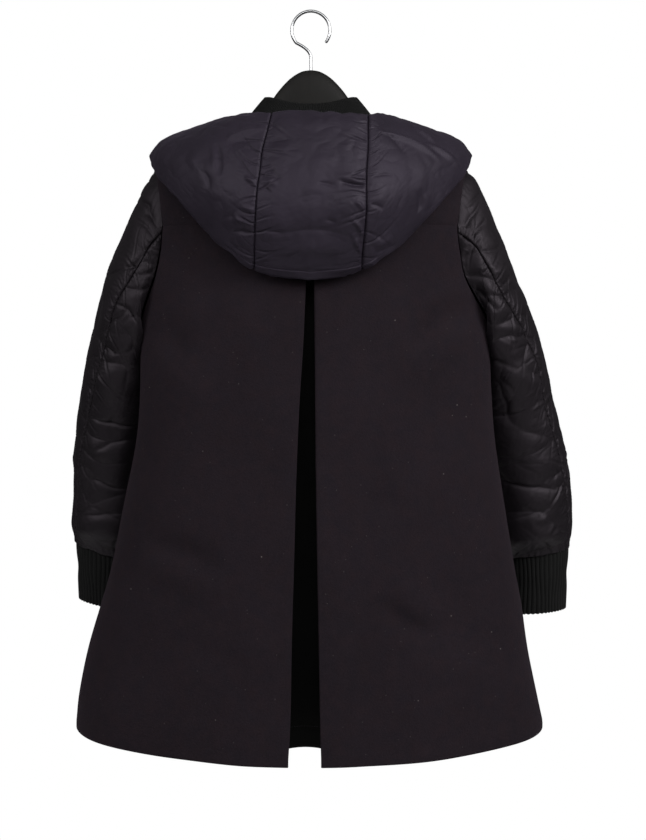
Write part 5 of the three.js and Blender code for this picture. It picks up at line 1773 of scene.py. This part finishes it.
class CoatPadding(bpy.types.PropertyGroup):
    """The padded sleeves and hood"""
    sleeve_colour: colour_property("Sleeve colour", "Colour of the sleeves' nylon", (20, 17, 20))
    hood_colour: colour_property("Hood colour", "Colour of the hood's nylon", (39, 34, 43))
    sleeve_gloss: share_property("Sleeve gloss", "How much light the sleeves' nylon reflects", 0.33)
    hood_gloss: share_property("Hood gloss", "How much light the hood's nylon reflects", 0.25)
    sleeve_roughness: share_property("Sleeve roughness", "Roughness of the sleeves' nylon", 0.56)
    hood_roughness: share_property("Hood roughness", "Roughness of the hood's nylon", 0.56)
    crumple: share_property("Crumple", "Strength of the finest wrinkles", 0.3)
    sleeve_wall: length_property("Sleeve padding", "Thickness of a sleeve's padded wall", 11.0)
    hood_wall: length_property("Hood padding", "Thickness of the hood's padded wall", 15.0)
    pressure: FloatProperty(name="Pressure", description="Pressure of the down inside its cloth", default=4.0, min=0,
                            max=20)
    slack: share_property("Slack", "How much larger the cloth is cut than the form it covers", 0.04, 0.3)


class CoatStitch(bpy.types.PropertyGroup):
    """The stitches of the underlay's hem"""
    colour: colour_property("Colour", "Colour of the sewing thread", (30, 28, 31))
    pitch: length_property("Pitch", "Distance from stitch to stitch", 3.2)
    length: length_property("Stitch", "Length of one stitch", 2.7)
    thread: length_property("Thread", "Width of the sewing thread", 0.55)


class CoatHanger(bpy.types.PropertyGroup):
    """The hanger"""
    plastic: colour_property("Body colour", "Colour of the moulded body", (31, 30, 29))
    steel: colour_property("Hook colour", "Colour of the steel hook", (200, 201, 203))


class CoatStage(bpy.types.PropertyGroup):
    """Floor and light"""
    floor: colour_property("Floor colour", "Colour of the floor", (226, 226, 225))
    drop: FloatProperty(name="Rail height", description="Height of the rail above the floor", default=1.75, min=1.0,
                        max=3.0, subtype="DISTANCE", unit="LENGTH")
    ambient: FloatProperty(name="Ambient", description="Strength of the even light from all round", default=0.115,
                           min=0, max=5)
    key: power_property("Key light", "Power of the large light above the camera, in watts", 28.5)
    fill_left: power_property("Left fill light", "Power of the light left of the camera, in watts", 22.0)
    fill_right: power_property("Right fill light", "Power of the light right of the camera, in watts", 36.0)
    front: power_property("Front light", "Power of the large light before the coat, in watts", 45.0)


GROUPS = {"coat_wool": CoatWool, "coat_underlay": CoatUnderlay, "coat_rib": CoatRib, "coat_padding": CoatPadding,
          "coat_stitch": CoatStitch, "coat_hanger": CoatHanger, "coat_stage": CoatStage}

# --- Operators ---


def declare_sheet(piece, slot, held, *rests_on):
    """A finished piece cut from flat cloth."""
    node = node_of(piece)
    declare(piece, slot, node)


def declare_padded(piece, slot):
    """A finished piece filled with down."""
    declare(piece, slot, node_of(piece))


class COAT_OT_body_panels(bpy.types.Operator):
    """Cut, drape and finish the five wool panels of the body"""
    bl_idname = "coat.body_panels"
    bl_label = "Wool body panels"

    def execute(self, context):
        settings = context.scene.coat_wool
        material = napped_wool("Napped wool", settings.colour, settings.lint)
        thickness = settings.thickness / MM
        pieces = [back_yoke(material, thickness)]
        pieces += [back_panel(side, material, thickness) for side in SIDES]
        pieces += [front_panel(side, material, thickness) for side in SIDES]
        for piece in pieces:
            declare_sheet(piece, "wool", "hung", "moulded_hanger_body")
        return {"FINISHED"}


class COAT_OT_pleat_underlay(bpy.types.Operator):
    """Hang the dark cloth behind the box pleat"""
    bl_idname = "coat.pleat_underlay"
    bl_label = "Pleat underlay"

    def execute(self, context):
        settings = context.scene.coat_underlay
        piece = pleat_underlay(dull_twill("Underlay twill", settings.colour), settings.thickness / MM)
        declare_sheet(piece, "underlay", "folded", "wool_back_yoke")
        return {"FINISHED"}


class COAT_OT_sleeves(bpy.types.Operator):
    """Fill and crease the two halves of each padded sleeve"""
    bl_idname = "coat.sleeves"
    bl_label = "Padded sleeves"

    def execute(self, context):
        settings = context.scene.coat_padding
        material = soft_nylon("Sleeve nylon", settings.sleeve_colour, settings.sleeve_gloss,
                              settings.sleeve_roughness, settings.crumple)
        for side in SIDES:
            for piece in sleeve_pieces(side, material, settings):
                declare_padded(piece, "sleeve")
        return {"FINISHED"}


class COAT_OT_hood(bpy.types.Operator):
    """Fill the three panels of the hood and lay it down the back"""
    bl_idname = "coat.hood"
    bl_label = "Padded hood"

    def execute(self, context):
        settings = context.scene.coat_padding
        material = soft_nylon("Hood nylon", settings.hood_colour, settings.hood_gloss,
                              settings.hood_roughness, settings.crumple)
        for piece in hood_pieces(material, settings):
            declare_padded(piece, "hood")
        return {"FINISHED"}


class COAT_OT_rib_trims(bpy.types.Operator):
    """Knit the rib collar and the two cuffs"""
    bl_idname = "coat.rib_trims"
    bl_label = "Rib collar and cuffs"

    def execute(self, context):
        settings = context.scene.coat_rib
        material = rib_knit("Rib knit", settings.colour)
        tree = rib_tree(material)
        sizes = (settings.depth / MM, settings.thickness / MM)
        declare_sheet(collar(material, tree, settings.pitch / MM, *sizes), "rib", "stretched", "wool_back_yoke")
        for side in SIDES:
            declare_sheet(cuff(side, material, tree, settings.cuff_pitch / MM, *sizes), "rib", "stretched",
                          f"down_sleeve_{side}_under")
        return {"FINISHED"}


class COAT_OT_stitching(bpy.types.Operator):
    """Sew the row of stitches along the underlay's hem"""
    bl_idname = "coat.stitching"
    bl_label = "Stitching"

    def execute(self, context):
        settings = context.scene.coat_stitch
        material = sewing_thread("Sewing thread", settings.colour)
        declare(thread_line("underlay_hem_stitches", underlay_hem_line(), material, settings), "underlay")
        return {"FINISHED"}


class COAT_OT_hanger(bpy.types.Operator):
    """Mould the hanger's body and bend its steel hook"""
    bl_idname = "coat.hanger"
    bl_label = "Hanger"

    def execute(self, context):
        settings = context.scene.coat_hanger
        declare(hanger_body(moulded_plastic("Moulded plastic", settings.plastic)), "hanger", "hanger_body")
        declare(hanger_hook(polished_steel("Drawn steel", settings.steel)), "hook", "hanger_hook")
        return {"FINISHED"}


# The camera stands behind the coat, at the height of its middle
CAMERA_PLACE = (0.0153, -1.835, -0.397)
CAMERA_TILT = 86.426
LENS, SENSOR = 61.76, 36.0


def area_light(name, place, aim, size, power):
    """A white rectangle of light."""
    lamp = bpy.data.lights.new(name, "AREA")
    lamp.shape = "RECTANGLE"
    lamp.size, lamp.size_y = size
    lamp.energy = power
    light = bpy.data.objects.new(name, lamp)
    light.location = place
    light.rotation_euler = (Vector(aim) - Vector(place)).to_track_quat("-Z", "Y").to_euler()
    bpy.context.scene.collection.objects.link(light)
    return light


def even_world(strength):
    """White where it is seen, and elsewhere a soft light that comes more from above."""
    world = bpy.data.worlds.new("Studio")
    world.use_nodes = True
    nodes, links = world.node_tree.nodes, world.node_tree.links
    nodes.clear()
    seen, soft, place, up, level, path, choice, output = (nodes.new("ShaderNode" + kind) for kind in (
        "Background", "Background", "TexCoord", "SeparateXYZ", "MapRange", "LightPath", "MixShader", "OutputWorld"))
    for light in (seen, soft):
        light.inputs["Color"].default_value = (1, 1, 1, 1)
    for name, value in (("From Min", -0.5), ("From Max", 0.7), ("To Min", 0.3 * strength),
                        ("To Max", 0.8 * strength)):
        level.inputs[name].default_value = value
    for value, socket in ((place.outputs["Generated"], up.inputs[0]), (up.outputs["Z"], level.inputs["Value"]),
                          (level.outputs[0], soft.inputs["Strength"]),
                          (path.outputs["Is Camera Ray"], choice.inputs[0]), (soft.outputs[0], choice.inputs[1]),
                          (seen.outputs[0], choice.inputs[2]), (choice.outputs[0], output.inputs["Surface"])):
        links.new(value, socket)
    bpy.context.scene.world = world


class COAT_OT_stage(bpy.types.Operator):
    """Set the pale floor, the soft lights and the camera"""
    bl_idname = "coat.stage"
    bl_label = "Stage"

    def execute(self, context):
        settings = context.scene.coat_stage
        bm = bmesh.new()
        bmesh.ops.create_circle(bm, cap_ends=True, segments=96, radius=1.7)
        bmesh.ops.translate(bm, verts=bm.verts, vec=(0, 0, -settings.drop))
        mesh = bpy.data.meshes.new("floor")
        bm.to_mesh(mesh)
        bm.free()
        put("floor", mesh, studio_floor("Pale floor", settings.floor))
        middle = (0, 0, -0.45)
        area_light("Key", (0.6, -2.4, 1.0), middle, (3.0, 1.3), settings.key)
        area_light("Fill left", (-1.8, -1.5, 0.55), (0, 0, -0.2), (1.0, 1.4), settings.fill_left)
        area_light("Fill right", (1.7, -1.4, 0.6), (0, 0, -0.2), (0.9, 1.4), settings.fill_right)
        area_light("Front", (-0.8, 2.6, 1.3), middle, (2.2, 1.8), settings.front).visible_glossy = False
        even_world(settings.ambient)
        context.scene.view_settings.view_transform = "Standard"
        lens = bpy.data.cameras.new("Camera")
        lens.sensor_fit = "VERTICAL"
        lens.sensor_height = SENSOR
        lens.lens = LENS
        camera = bpy.data.objects.new("Camera", lens)
        camera.location = CAMERA_PLACE
        camera.rotation_euler = (math.radians(CAMERA_TILT), 0, 0)
        context.scene.collection.objects.link(camera)
        context.scene.camera = camera
        return {"FINISHED"}


OPERATORS = (COAT_OT_stage, COAT_OT_hanger, COAT_OT_body_panels, COAT_OT_pleat_underlay, COAT_OT_sleeves,
             COAT_OT_hood, COAT_OT_rib_trims, COAT_OT_stitching)


class COAT_PT_panel(bpy.types.Panel):
    """The coat's settings, and a button for each of its pieces"""
    bl_label = "Coat"
    bl_idname = "COAT_PT_panel"
    bl_space_type = "VIEW_3D"
    bl_region_type = "UI"
    bl_category = "Coat"

    def draw(self, context):
        for name in GROUPS:
            box = self.layout.box()
            box.label(text=name.split("_")[1].capitalize())
            settings = getattr(context.scene, name)
            for key in settings.__annotations__:
                box.prop(settings, key)
        for operator in OPERATORS:
            self.layout.operator(operator.bl_idname)


def register():
    for name, group in GROUPS.items():
        bpy.utils.register_class(group)
        setattr(bpy.types.Scene, name, PointerProperty(type=group))
    for kind in OPERATORS + (COAT_PT_panel,):
        bpy.utils.register_class(kind)


def unregister():
    for kind in reversed(OPERATORS + (COAT_PT_panel,)):
        bpy.utils.unregister_class(kind)
    for name, group in reversed(GROUPS.items()):
        delattr(bpy.types.Scene, name)
        bpy.utils.unregister_class(group)


def main():
    register()
    for operator in OPERATORS:
        getattr(bpy.ops.coat, operator.bl_idname.split(".")[1])()


if __name__ == "__main__":
    main()
